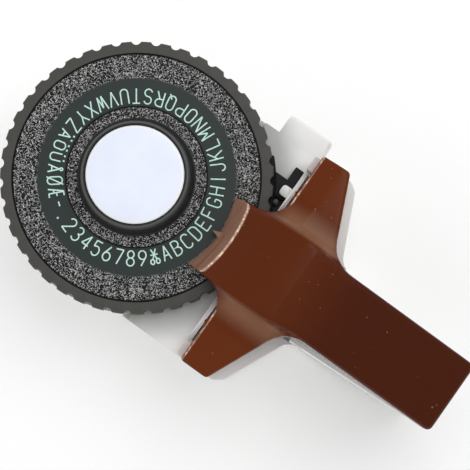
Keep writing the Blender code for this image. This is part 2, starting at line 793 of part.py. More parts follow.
def tape_guide_block(material):
    """The black block between the dial's rim and the upright strip, above the feed roller."""
    near_y = GUIDE_NEAR_SHARE * DIAL_RADIUS
    shoulder_y = GUIDE_SHOULDER_SHARE * DIAL_RADIUS
    far_y = GUIDE_FAR_SHARE * DIAL_RADIUS
    shoulder_run = 0.0029
    back_x = WALL_STRIP_LOW_X - GAP
    shoulder_x = back_x - shoulder_run
    rim = DIAL_RADIUS + 2 * GAP
    start = math.asin(shoulder_y / rim)
    end = math.asin(near_y / rim)
    steps = 6
    arc = [start + (end - start) * step / steps for step in range(steps + 1)]
    outline = [(back_x, near_y), (back_x, far_y), (shoulder_x, far_y), (shoulder_x, shoulder_y)]
    outline += [(rim * math.cos(a), rim * math.sin(a)) for a in arc]
    body = flat(outline, GUIDE_BLOCK_LOW_Z, GUIDE_BLOCK_TOP_Z)
    slot_half = DETENT_HALF + GAP
    cut(body, radial_bar(rim - 2 * WALL, rim + 2 * WALL, slot_half, DETENT_SLOT_Z, DIAL_TOP_Z))
    return finish(body, "tape_guide_block", material, drawing)


def detent_plunger(material, axis):
    pin_clearance = 0.0012
    slider_tail = 0.0005
    pin_radius = DIAL_RADIUS + pin_clearance
    slider_end = pin_radius + slider_tail
    pin_top_z = DIAL_TOP_Z - OVERRUN
    low_z = DETENT_SLOT_Z + GAP
    centre = (pin_radius * math.cos(DETENT_ANGLE), pin_radius * math.sin(DETENT_ANGLE), 0)
    body = rod("z", centre, DETENT_HALF, low_z, pin_top_z, 16)
    fuse(body, radial_bar(pin_radius, slider_end, DETENT_HALF, low_z, GUIDE_BLOCK_TOP_Z))
    return finish(body, "detent_plunger", material, axis)


def screws(name, places, shank, head, face_z, seat_z, end_z, material, axis):
    """Equal upright screws: the head runs from its face to its seat, the shank on to its end."""
    edge_z = face_z + math.copysign(GAP, seat_z - face_z)
    profile = [
        (0, face_z),
        (head - GAP, face_z),
        (head, edge_z),
        (head, seat_z),
        (shank, seat_z),
        (shank, end_z),
        (0, end_z),
    ]
    if end_z > face_z:
        profile.reverse()
    for index, (x, y) in enumerate(places):
        screw = turned(profile, 16)
        screw.data.transform(Matrix.Translation((x, y, 0)))
        finish(screw, f"{name}_{index + 1}", material, axis)


# Dial

DIAL_WEB = 0.0020
HUB_BASE = 0.0180
HUB_TOP = 0.0162
HUB_HEIGHT = 0.0070
HUB_TOP_Z = DIAL_TOP_Z + HUB_HEIGHT
HUB_DISC_RADIUS = 0.0147
HUB_SEAT_DEPTH = 0.0011
HUB_SEAT_Z = HUB_TOP_Z - HUB_SEAT_DEPTH
WASHER_WELL_DEPTH = 0.0027
POST_TOP_Z = HUB_SEAT_Z - WASHER_WELL_DEPTH
WASHER_RADIUS = 0.0065
WASHER_THICKNESS = 0.0007
HUB_SCREW_HEAD = 0.0030
HUB_SCREW_HEIGHT = 0.0011
HUB_SCREW_LENGTH = 0.0092
POST_FLANGE = 0.0080


def dial(material, axis):
    """The dial: rim with notches, ring of dies below, web, and the collar round the hub."""
    edge = 0.0005
    hub_sleeve = 0.0090
    recess = HUB_DISC_RADIUS + GAP
    counterbore = WASHER_RADIUS + 2 * GAP
    profile = [
        (counterbore, HUB_SEAT_Z),
        (recess, HUB_SEAT_Z),
        (recess, HUB_TOP_Z),
        (HUB_TOP - edge, HUB_TOP_Z),
        (HUB_TOP, HUB_TOP_Z - edge),
        (HUB_BASE, DIAL_TOP_Z),
        (DIAL_RADIUS, DIAL_TOP_Z),
        (DIAL_RADIUS, RIM_LOW_Z),
        (DIE_OUTER, RIM_LOW_Z),
        (DIE_OUTER, DECK_LOW_Z),
        (DIE_INNER, DECK_LOW_Z),
        (DIE_INNER, DIAL_TOP_Z - DIAL_WEB),
        (hub_sleeve, DIAL_TOP_Z - DIAL_WEB),
        (hub_sleeve, DISC_TOP_Z + GAP),
        (DIAL_BORE, DISC_TOP_Z + GAP),
        (DIAL_BORE, POST_TOP_Z),
        (counterbore, POST_TOP_Z),
    ]
    body = turned(profile, 2 * CHARACTERS, closed=True)
    notch_depth = 0.00115
    notch_half = 0.00155
    notch_radius = (notch_half**2 + notch_depth**2) / (2 * notch_depth)
    centre = DIAL_RADIUS - notch_depth + notch_radius
    notches = []
    for index in range(CHARACTERS):
        angle = index * PITCH_ANGLE
        place = (centre * math.cos(angle), centre * math.sin(angle), 0)
        low = RIM_LOW_Z - OVERRUN / 2
        notches.append(rod("z", place, notch_radius, low, DIAL_TOP_Z + OVERRUN, 10))
    cut(body, joined("notches", notches))
    return finish(body, "dial", material, axis)


def lower_die_disc(material, axis):
    """The thin disc under the tape, slit into one springy finger for each character."""
    slit_half = 0.0004
    slit_root = DIE_INNER - OVERRUN
    outline = []
    for index in range(CHARACTERS):
        start = index * PITCH_ANGLE - PITCH_ANGLE / 2
        end = start + PITCH_ANGLE
        half_outer = slit_half / DISC_RADIUS
        half_inner = slit_half / slit_root
        polar = [
            (slit_root, start + half_inner),
            (DISC_RADIUS, start + half_outer),
            (DISC_RADIUS, (start + end) / 2),
            (DISC_RADIUS, end - half_outer),
            (slit_root, end - half_inner),
        ]
        outline += [(radius * math.cos(a), radius * math.sin(a)) for radius, a in polar]
    body = flat(outline, DISC_LOW_Z, DISC_TOP_Z)
    cut(body, rod("z", (0, 0, 0), DIAL_BORE, 0, DIAL_TOP_Z, 32))
    return finish(body, "lower_die_disc", material, axis)


def hub_disc(material, axis):
    thickness = 0.0009
    crown = 0.0004
    crown_share = 0.7
    low = HUB_SEAT_Z + GAP
    edge = low + thickness / 2
    profile = [
        (0, low + thickness + crown / 2),
        (crown_share * HUB_DISC_RADIUS, low + thickness),
        (HUB_DISC_RADIUS - crown, edge + crown / 2),
        (HUB_DISC_RADIUS, edge),
        (HUB_DISC_RADIUS, low),
        (0, low),
    ]
    return finish(turned(profile, 48), "hub_disc", material, axis)


def dial_post(material):
    hole_low = POST_TOP_Z - HUB_SCREW_LENGTH
    flange_top = DISC_LOW_Z - GAP
    foot = PAN_FLOOR_Z + GAP
    profile = [
        (0, hole_low),
        (SCREW_BORE, hole_low),
        (SCREW_BORE, POST_TOP_Z),
        (POST_RADIUS, POST_TOP_Z),
        (POST_RADIUS, flange_top),
        (POST_FLANGE, flange_top),
        (POST_FLANGE, foot),
        (0, foot),
    ]
    return finish(turned(profile, 32), "dial_post", material, drawing)


def hub_washer(material):
    low = POST_TOP_Z + GAP
    high = low + WASHER_THICKNESS
    ring = [(WASHER_RADIUS, high), (WASHER_RADIUS, low), (SCREW_BORE, low), (SCREW_BORE, high)]
    return finish(turned(ring, 28, closed=True), "hub_washer", material, drawing)


def hub_screw(material):
    low = POST_TOP_Z + WASHER_THICKNESS + 2 * GAP
    high = low + HUB_SCREW_HEIGHT
    end = POST_TOP_Z - HUB_SCREW_LENGTH + GAP
    profile = [
        (0, high),
        (HUB_SCREW_HEAD - GAP, high),
        (HUB_SCREW_HEAD, high - GAP),
        (HUB_SCREW_HEAD, low),
        (SCREW_SHANK, low),
        (SCREW_SHANK, end),
        (0, end),
    ]
    return finish(turned(profile, 20), "hub_screw", material, drawing)


# Anvil, tape and its rollers


def anvil_bracket(material):
    """The steel bridge over the dial's rim: the dies are pressed up against its plate."""
    plate_reach = 0.0021
    front_x = STATION_RADIUS - plate_reach
    low_z = DIAL_TOP_Z + 2 * GAP
    top_z = low_z + ANVIL_THICKNESS
    foot_z = DECK_TOP_Z + GAP
    foot_top_z = foot_z + ANVIL_FOOT_THICKNESS
    back_x = ANVIL_LEG_X + ANVIL_THICKNESS
    side = [
        (front_x, top_z),
        (front_x, low_z),
        (ANVIL_LEG_X, low_z),
        (ANVIL_LEG_X, foot_z),
        (ANVIL_FOOT_X, foot_z),
        (ANVIL_FOOT_X, foot_top_z),
        (back_x, foot_top_z),
        (back_x, top_z),
    ]
    body = flat(side, -ANVIL_HALF, ANVIL_HALF, "xz")
    window = box(
        (ANVIL_LEG_X - OVERRUN, -ANVIL_LEG_HALF, 0), (2 * ANVIL_FOOT_X, ANVIL_LEG_HALF, low_z - GAP)
    )
    cut(body, window)
    for y in (-ANVIL_SCREW_Y, ANVIL_SCREW_Y):
        cut(body, rod("z", (ANVIL_SCREW_X, y, 0), SMALL_BORE, 0, foot_top_z + OVERRUN / 2, 12))
    return finish(body, "anvil_bracket", material, drawing)


def along_x(shape, y, z):
    """Lays a shape turned about z along x, at this height and side."""
    shape.data.transform(STANDING["yz"])
    shape.data.transform(Matrix.Translation((0, y, z)))
    return shape


def tape_spool(material, axis):
    core = 0.0048
    flange = 0.0080
    flange_width = 0.0008
    bore = SPOOL_PIN_RADIUS + GAP
    low = PLATE_FRONT_X + PLATE_THICKNESS + GAP
    high = PLATE_BACK_X - GAP
    flange_low = TAPE_LOW_X - GAP
    flange_high = TAPE_HIGH_X + GAP
    profile = [
        (core, high),
        (core, flange_high + flange_width),
        (flange, flange_high + flange_width),
        (flange, flange_high),
        (core, flange_high),
        (core, flange_low),
        (flange, flange_low),
        (flange, flange_low - flange_width),
        (core, flange_low - flange_width),
        (core, low),
        (bore, low),
        (bore, high),
    ]
    spool = along_x(turned(profile, 32, closed=True), ROLL_Y, ROLL_Z)
    finish(spool, "tape_spool", material, axis)
    return core


def tape_roll(material, axis, core):
    inner = core + GAP
    ring = [
        (ROLL_RADIUS, TAPE_HIGH_X),
        (ROLL_RADIUS, TAPE_LOW_X),
        (inner, TAPE_LOW_X),
        (inner, TAPE_HIGH_X),
    ]
    return finish(
        along_x(turned(ring, 48, closed=True), ROLL_Y, ROLL_Z), "tape_roll", material, axis
    )


def tape_strip(material):
    """Tape from the roll, up, round the guide pin and on to the cutter."""
    half = TAPE_THICKNESS / 2
    middle_z = TAPE_Z + half
    end_y = CUTTER_Y - CUTTER_THICKNESS / 2 - 2 * GAP
    steps = 6
    outer = [(RISE_Y - half, ROLL_Z)]
    inner = [(RISE_Y + half, ROLL_Z)]
    for step in range(steps + 1):
        angle = math.pi - math.pi / 2 * step / steps
        across, up = math.cos(angle), math.sin(angle)
        outer.append((GUIDE_Y + (BEND_RADIUS + half) * across, GUIDE_Z + (BEND_RADIUS + half) * up))
        inner.append((GUIDE_Y + (BEND_RADIUS - half) * across, GUIDE_Z + (BEND_RADIUS - half) * up))
    outer.append((end_y, middle_z + half))
    inner.append((end_y, middle_z - half))
    strip = flat(outer + inner[::-1], TAPE_LOW_X, TAPE_HIGH_X, "yz")
    return finish(strip, "tape_strip", material, drawing)


def spool_pin(material):
    low, high = PLATE_FRONT_X - GAP, PLATE_END_X + GAP
    pin = rod("x", (0, ROLL_Y, ROLL_Z), SPOOL_PIN_RADIUS, low, high, 20)
    return finish(pin, "spool_pin", material, drawing)


def guide_pin(material):
    clearance = 0.000375
    radius = BEND_RADIUS - TAPE_THICKNESS / 2 - clearance
    low = PLATE_FRONT_X + PLATE_THICKNESS + GAP
    body = rod("x", (0, GUIDE_Y, GUIDE_Z), radius, low, PLATE_BACK_X - GAP, 24)
    ends = (PLATE_FRONT_X - GAP, PLATE_END_X + GAP)
    fuse(body, rod("x", (0, GUIDE_Y, GUIDE_Z), GUIDE_JOURNAL, *ends, 16))
    return finish(body, "guide_pin", material, drawing)


FEED_TEETH = 12
RATCHET_RADIUS = 0.0044
RATCHET_ROOT_RADIUS = 0.0037
RATCHET_FRONT_GAP = 0.0007
RATCHET_BACK_GAP = 0.0011
RATCHET_LOW_X = TAPE_HIGH_X + RATCHET_FRONT_GAP
RATCHET_HIGH_X = FEED_BACK_X - RATCHET_BACK_GAP


def feed_shaft(material, axis):
    low, high = FEED_FRONT_X - GAP, FEED_END_X + GAP
    shaft = rod("x", (0, FEED_Y, FEED_Z), FEED_SHAFT_RADIUS, low, high, 16)
    return finish(shaft, "feed_shaft", material, axis)


def feed_roller(material, axis):
    bore = FEED_SHAFT_RADIUS + GAP
    low, high = TAPE_LOW_X + GAP, TAPE_HIGH_X - GAP
    ring = [(FEED_RADIUS, high), (FEED_RADIUS, low), (bore, low), (bore, high)]
    roller = along_x(turned(ring, 32, closed=True), FEED_Y, FEED_Z)
    return finish(roller, "feed_roller", material, axis)


def ratchet_wheel(material, axis):
    """A saw-toothed wheel on the feed shaft's end."""
    root = RATCHET_ROOT_RADIUS
    outline = []
    for tooth in range(FEED_TEETH):
        angle = 2 * math.pi * tooth / FEED_TEETH
        outline.append((root * math.cos(angle), root * math.sin(angle)))
        outline.append((RATCHET_RADIUS * math.cos(angle), RATCHET_RADIUS * math.sin(angle)))
    outline = [(FEED_Y + across, FEED_Z + up) for across, up in outline]
    bore = circle(FEED_Y, FEED_Z, FEED_SHAFT_RADIUS + GAP, 18)
    wheel = flat(outline, RATCHET_LOW_X, RATCHET_HIGH_X, "yz", holes=[bore])
    return finish(wheel, "ratchet_wheel", material, axis)


def feed_pawl(material, axis):
    """The upright pawl between the ratchet wheel and the housing's side."""
    drop = 0.0081
    rise = 0.0017
    low_z = FEED_Z - drop
    high_z = FEED_Z + rise
    hook = 0.0008
    near_y = FEED_Y + RATCHET_RADIUS + GAP
    far_y = BASE_INNER - GAP
    outline = [
        (far_y, low_z),
        (far_y, high_z),
        (near_y, high_z),
        (near_y + hook, high_z - 2 * hook),
        (near_y + hook, low_z + hook),
        (near_y + 2 * hook, low_z),
    ]
    pawl = flat(outline, RATCHET_LOW_X, RATCHET_HIGH_X, "yz")
    return finish(pawl, "feed_pawl", material, axis)


# Cutter and magazine door

BLADE_LENGTH = 0.0186
BLADE_TOP_Z = TAPE_Z - OVERRUN
BLADE_LOW_Z = BLADE_TOP_Z - BLADE_LENGTH


def cutter_blade(material, axis):
    top_z = BLADE_TOP_Z
    bevel = 0.0010
    half = CUTTER_THICKNESS / 2
    outline = [
        (CUTTER_Y - half, BLADE_LOW_Z),
        (CUTTER_Y + half, BLADE_LOW_Z),
        (CUTTER_Y + half, top_z - bevel),
        (CUTTER_Y - half, top_z),
    ]
    blade = flat(outline, BLADE_LOW_X, BLADE_HIGH_X, "yz")
    return finish(blade, "cutter_blade", material, axis)


def cutter_button(material, axis):
    height = 0.0050
    depth = 0.0026
    corner = 0.0006
    near_y = BASE_HALF + GAP
    top_z = BLADE_LOW_Z - GAP
    low = (BLADE_LOW_X, near_y, top_z - height)
    body = box(low, (BLADE_HIGH_X, near_y + depth, top_z))
    soften(body, corner, 2, lambda p: True)
    return finish(body, "cutter_button", material, axis)


def magazine_door(material, axis):
    knuckle = 0.0015
    heel = 0.0006
    low_x = PLATE_FRONT_X + PLATE_THICKNESS + 2 * GAP
    high_x = PLATE_BACK_X - 2 * GAP
    low = (low_x, DOOR_PIN_Y - heel, GAP)
    body = box(low, (high_x, DOOR_FREE_Y, WALL - GAP / 2))
    fuse(body, rod("x", (0, DOOR_PIN_Y, DOOR_PIN_Z), knuckle, low_x - GAP / 3, high_x + GAP / 3, 20))
    bore = DOOR_PIN_RADIUS + GAP
    cut(body, rod("x", (0, DOOR_PIN_Y, DOOR_PIN_Z), bore, PLATE_FRONT_X, PLATE_END_X, 16))
    return finish(body, "magazine_door", material, axis)


def door_pin(material):
    low, high = PLATE_FRONT_X - GAP, PLATE_END_X + GAP
    pin = rod("x", (0, DOOR_PIN_Y, DOOR_PIN_Z), DOOR_PIN_RADIUS, low, high, 12)
    return finish(pin, "door_pin", material, drawing)


# Lever

HUMP_SETBACK = 0.0055
HUMP_X = PIVOT_X - HUMP_SETBACK
HUMP_HEIGHT = 0.0160
HUMP_Z = PIVOT_Z + HUMP_HEIGHT
END_TOP_HEIGHT = 0.0054
LEVER_END_TOP_Z = PIVOT_Z + END_TOP_HEIGHT
END_DROP = 0.0065
LEVER_END_LOW_Z = PIVOT_Z - END_DROP
SKIRT_DROP = 0.0023
SKIRT_LOW_Z = PIVOT_Z - SKIRT_DROP
CORE_FRONT_X = NOSE_LOW_RADIUS - 2 * WALL
BAR_HEIGHT = 0.0085
BAR_THICKNESS = 0.0030
BAR_REACH = 0.0095
BAR_LOW_Z = PIVOT_Z + BAR_HEIGHT
BAR_TOP_Z = BAR_LOW_Z + BAR_THICKNESS
BAR_END_X = PIVOT_X + BAR_REACH
ARM_SCREW_INSET = 0.0015
ARM_SCREW_SPACING = 0.0030
ARM_SCREW_X = BAR_END_X - ARM_SCREW_INSET
ARM_SCREW_PLACES = ((ARM_SCREW_X - ARM_SCREW_SPACING, 0), (ARM_SCREW_X, 0))


def nose_radius(z):
    """Radius, round the dial's axis, of the nose's leaning front face."""
    share = (z - NOSE_LOW_Z) / (NOSE_TOP_Z - NOSE_LOW_Z)
    return NOSE_LOW_RADIUS + share * (NOSE_TOP_RADIUS - NOSE_LOW_RADIUS)


def nose_cone(grow):
    low_z = NOSE_LOW_Z - 2 * OVERRUN
    high_z = HUMP_Z
    profile = [
        (0, high_z),
        (nose_radius(high_z) + grow, high_z),
        (nose_radius(low_z) + grow, low_z),
        (0, low_z),
    ]
    return turned(profile, 72)


def core_plan(inset):
    """The nose, hump and grip seen from above."""
    end_radius = 0.0018
    end_x = LEVER_END_X - inset
    half = rounded(
        [
            (CORE_FRONT_X, NOSE_HALF - NOSE_TAPER - inset, 0),
            (WING_FRONT_X, NOSE_HALF - inset, 0),
            (RIDGE_X, NOSE_HALF - inset, 0),
            (WING_ROOT_X + WALL, GRIP_HALF - inset, 0),
            (end_x, GRIP_HALF - inset, end_radius),
            (end_x, 0, 0),
        ]
    )
    return mirrored(half[:-1])


def core_top(inset):
    """The lever's upper line from the end forward: grip, ridge, hump and nose."""
    end_radius = 0.0040
    ridge_radius = 0.0100
    slope = (HUMP_Z - NOSE_TOP_Z) / (HUMP_X - NOSE_TOP_RADIUS)
    front_z = HUMP_Z - slope * (HUMP_X - CORE_FRONT_X)
    return [
        (LEVER_END_X - inset, LEVER_END_TOP_Z - inset, end_radius),
        (RIDGE_X, RIDGE_Z - inset, ridge_radius),
        (HUMP_X, HUMP_Z - inset, 0),
        (CORE_FRONT_X, front_z - inset, 0),
    ]


def core_solid():
    step = 0.0016
    side = rounded(
        [
            (CORE_FRONT_X, NOSE_LOW_Z, 0),
            (WING_FRONT_X + WALL, NOSE_LOW_Z, 0),
            (WING_FRONT_X + 4 * WALL, SKIRT_LOW_Z + WALL, 0),
            (RIDGE_X + WALL, SKIRT_LOW_Z - step, 0),
            (LEVER_END_X, LEVER_END_LOW_Z, 0),
        ]
        + core_top(0)
    )
    body = meet(flat(side, -WING_HALF, WING_HALF, "xz"), flat(core_plan(0), 0, 2 * DIAL_TOP_Z))
    body = settle(body)
    edge = 0.0013
    return soften(body, edge, 2, lambda p: p.z > NOSE_LOW_Z + edge)


def core_hollow():
    low_z = LEVER_END_LOW_Z - 2 * WALL
    side = rounded(
        [(CORE_FRONT_X, low_z, 0), (LEVER_END_X - WALL, low_z, 0)] + core_top(WALL)
    )
    body = meet(flat(side, -WING_HALF, WING_HALF, "xz"), flat(core_plan(WALL), 0, 2 * DIAL_TOP_Z))
    return cut(body, nose_cone(WALL))


def wings_solid():
    fillet = 0.0072
    fillet_run = 0.0079
    tip_radius = 0.0018
    root_radius = 0.0060
    back_x = WING_ROOT_X + 4 * WALL
    plan = mirrored(
        rounded(
            [
                (WING_FRONT_X - fillet_run, NOSE_HALF - WALL, 0),
                (WING_FRONT_X - fillet_run, NOSE_HALF - 2 * GAP, 0),
                (WING_FRONT_X, NOSE_HALF, fillet),
                (WING_FRONT_X, WING_HALF, tip_radius),
                (WING_BACK_X, WING_HALF, tip_radius),
                (WING_ROOT_X, GRIP_HALF + GAP, root_radius),
                (back_x, GRIP_HALF - GAP, 0),
            ]
        )
    )
    front_height = 0.0100
    crest_setback = 0.0067
    crest_rise = 0.0030
    front_z = PIVOT_Z + front_height
    crest_x = WING_FRONT_X + crest_setback
    crest_z = front_z + crest_rise
    lip_z = NOSE_LOW_Z + GAP
    front_x = WING_FRONT_X - fillet_run - GAP
    slope = (crest_z - front_z) / (crest_x - WING_FRONT_X)
    side = [
        (front_x, lip_z),
        (WING_FRONT_X, lip_z),
        (WING_FRONT_X, SKIRT_LOW_Z),
        (PIVOT_X + WALL, SKIRT_LOW_Z),
        (back_x + WALL, SKIRT_LOW_Z + math.tan(SQUEEZE_ANGLE) * (back_x - PIVOT_X)),
        (back_x + WALL, crest_z - GAP),
        (crest_x, crest_z),
        (front_x, front_z - slope * (WING_FRONT_X - front_x)),
    ]
    body = settle(meet(flat(plan, 0, 2 * DIAL_TOP_Z), flat(side, -DIAL_RADIUS, DIAL_RADIUS, "xz")))
    edge = 0.0009
    return soften(body, edge, 2, lambda p: p.z > lip_z + edge)


def wings_hollow():
    back_wall = 0.0012
    front_rise = 0.0080
    back_rise = 0.0115
    plan = mirrored(
        rounded(
            [
                (WING_FRONT_X + WALL, WING_HALF - WALL, GAP),
                (WING_BACK_X - back_wall, WING_HALF - WALL, GAP),
                (WING_ROOT_X - WALL, GRIP_HALF - WALL, WALL),
                (WING_ROOT_X + WALL, GRIP_HALF - WALL, 0),
            ]
        )
    )
    top_front = PIVOT_Z + front_rise
    top_back = PIVOT_Z + back_rise
    side = [
        (WING_FRONT_X, LEVER_END_LOW_Z - WALL),
        (WING_ROOT_X + 2 * WALL, LEVER_END_LOW_Z - WALL),
        (WING_ROOT_X + 2 * WALL, top_back),
        (WING_BACK_X, top_back),
        (WING_FRONT_X, top_front),
    ]
    return meet(flat(plan, 0, 2 * DIAL_TOP_Z), flat(side, -DIAL_RADIUS, DIAL_RADIUS, "xz"))


def ceiling_z(x):
    """Height of the middle of the roof's thickness over a place on the grip."""
    slope = (LEVER_END_TOP_Z - RIDGE_Z) / (LEVER_END_X - RIDGE_X)
    return RIDGE_Z + slope * (x - RIDGE_X) - WALL / 2


def lever_cover(material, axis):
    pointer_reach = 0.0016
    pointer_half = 0.0013
    pointer_tip = NOSE_LOW_RADIUS - pointer_reach
    pointer_root = NOSE_LOW_RADIUS + WALL
    ear_drop = 0.0005
    ear_rise = 0.0065
    ear_low_z = PIVOT_Z - ear_drop
    ear_high_z = PIVOT_Z + ear_rise
    boss = 0.0022
    body = cut(core_solid(), nose_cone(0))
    fuse(body, wings_solid())
    cut(body, core_hollow(), wings_hollow())
    pointer = [(pointer_tip, 0), (pointer_root, pointer_half), (pointer_root, -pointer_half)]
    fuse(body, flat(pointer, NOSE_LOW_Z + GAP, NOSE_LOW_Z + WALL))
    ear_inner = WING_HALF - EAR_DEPTH
    for side in (-1, 1):
        hub_ends = sorted((side * ear_inner, side * (WING_HALF - GAP)))
        fuse(body, rod("y", (PIVOT_X, 0, PIVOT_Z), HUB_RADIUS, *hub_ends, 24))
        tip_ends = sorted((side * EAR_TIP_Y, side * (EAR_TIP_Y + EAR_TIP_WIDTH)))
        tip_low = (WALL_STRIP_LOW_X, tip_ends[0], ear_low_z)
        fuse(body, box(tip_low, (WING_FRONT_X + WALL / 2, tip_ends[1], ear_high_z)))
    for x, y in ARM_SCREW_PLACES:
        fuse(body, rod("z", (x, y, 0), boss, BAR_TOP_Z + GAP, RIDGE_Z - WALL, 14))
    seat_z = SPRING_TOP_Z + GAP
    fuse(
        body,
        rod("z", (SPRING_X, 0, 0), SPRING_SEAT_RADIUS, seat_z, ceiling_z(SPRING_X), 20),
        rod(
            "z", (SPRING_X, 0, 0), SPRING_PEG_RADIUS, seat_z - SPRING_PEG_HEIGHT, seat_z + WALL, 16
        ),
    )
    cut(body, rod("y", (PIVOT_X, 0, PIVOT_Z), PIN_BORE, -2 * WING_HALF, 2 * WING_HALF, 16))
    for x, y in ARM_SCREW_PLACES:
        hole_top = BAR_TOP_Z + WALL + GAP
        cut(body, rod("z", (x, y, 0), SMALL_BORE, BAR_TOP_Z, hole_top, 12))
    return finish(body, "lever_cover", material, axis)


def lever_pin(material):
    half = WING_HALF - 2 * GAP
    pin = rod("y", (PIVOT_X, 0, PIVOT_Z), PIN_RADIUS, -half, half, 16)
    return finish(pin, "lever_pin", material, drawing)


HEAD_CLEARANCE = 0.0037
HEAD_HEIGHT = 0.0024
HEAD_TOP_Z = DISC_LOW_Z - HEAD_CLEARANCE
FOOT_THICKNESS = 0.0027
FOOT_TOP_Z = HEAD_TOP_Z - HEAD_HEIGHT - GAP
FOOT_LOW_Z = FOOT_TOP_Z - FOOT_THICKNESS
HEAD_LENGTH = 0.0034
HEAD_INSET = 0.0050
HEAD_LOW_X = DIAL_RADIUS - HEAD_INSET
FOOT_END_X = HEAD_LOW_X - 2 * GAP / 3


def hammer_arm(material, axis):
    """The steel arm: from its bar under the lever's roof, round the pin, down and forward."""
    hub = 0.0040
    leg_setback = 0.0055
    leg_width = 0.0045
    neck_setback = 0.0032
    neck_width = 0.0057
    leg_low_x = PIVOT_X - leg_setback
    leg_high_x = leg_low_x + leg_width
    neck_low_x = PIVOT_X - neck_setback
    neck_high_x = neck_low_x + neck_width
    heel = 0.0020
    outline = rounded(
        [
            (FOOT_END_X, FOOT_LOW_Z, 0),
            (leg_high_x, FOOT_LOW_Z, heel),
            (leg_high_x, PIVOT_Z - heel, 0),
            (neck_high_x, PIVOT_Z + heel / 2, 0),
            (neck_high_x, BAR_LOW_Z, 0),
            (BAR_END_X, BAR_LOW_Z, 0),
            (BAR_END_X, BAR_TOP_Z, 0),
            (neck_low_x, BAR_TOP_Z, 0),
            (neck_low_x, PIVOT_Z + heel / 2, 0),
            (leg_low_x, PIVOT_Z - heel, 0),
            (leg_low_x, FOOT_TOP_Z, 0),
            (FOOT_END_X, FOOT_TOP_Z, 0),
        ]
    )
    body = flat(outline, -ARM_HALF, ARM_HALF, "xz")
    fuse(body, rod("y", (PIVOT_X, 0, PIVOT_Z), hub, -ARM_HALF - GAP, ARM_HALF + GAP, 24))
    cut(body, rod("y", (PIVOT_X, 0, PIVOT_Z), PIN_BORE, -WING_HALF, WING_HALF, 16))
    for x, y in ARM_SCREW_PLACES:
        cut(body, rod("z", (x, y, 0), SMALL_BORE, BAR_LOW_Z - OVERRUN, BAR_TOP_Z + OVERRUN, 12))
    return finish(body, "hammer_arm", material, axis)


def hammer_head(material, axis):
    """The hardened block on the arm's foot, which stops just under the lower dies."""
    corner = 0.0005
    low = (HEAD_LOW_X, -ARM_HALF, FOOT_TOP_Z + GAP)
    body = box(low, (HEAD_LOW_X + HEAD_LENGTH, ARM_HALF, HEAD_TOP_Z))
    soften(body, corner, 1, lambda p: p.z > HEAD_TOP_Z - corner)
    return finish(body, "hammer_head", material, axis)


def return_spring(material, axis):
    """The lever's compression spring, wound as one wire."""
    coil_radius = 0.0040
    wire = 0.0006
    turns = 8
    points_per_turn = 9
    low = SPRING_LOW_Z + wire
    high = SPRING_TOP_Z - wire
    count = turns * points_per_turn
    path = []
    for index in range(count + 1):
        angle = 2 * math.pi * index / points_per_turn
        across, along = math.cos(angle), math.sin(angle)
        height = low + (high - low) * index / count
        path.append(Vector((SPRING_X + coil_radius * across, coil_radius * along, height)))
    curve = bpy.data.curves.new("return_spring", "CURVE")
    curve.dimensions = "3D"
    curve.bevel_depth = wire
    curve.bevel_resolution = 1
    curve.use_fill_caps = True
    spline = curve.splines.new("POLY")
    spline.points.add(count)
    for point, place in zip(spline.points, path):
        point.co = (*place, 1)
    spring = bpy.data.objects.new("return_spring", curve)
    parts.objects.link(spring)
    apart = [
        (path[first] - path[second]).length
        for first in range(len(path))
        for second in range(first + points_per_turn // 2, len(path))
    ]
    print("return_spring least gap to itself, mm:", round(1000 * (min(apart) - 2 * wire), 2))
    return finish(spring, "return_spring", material, axis)


# The whole machine


def clear_scene():
    for old in list(bpy.data.objects):
        bpy.data.objects.remove(old)


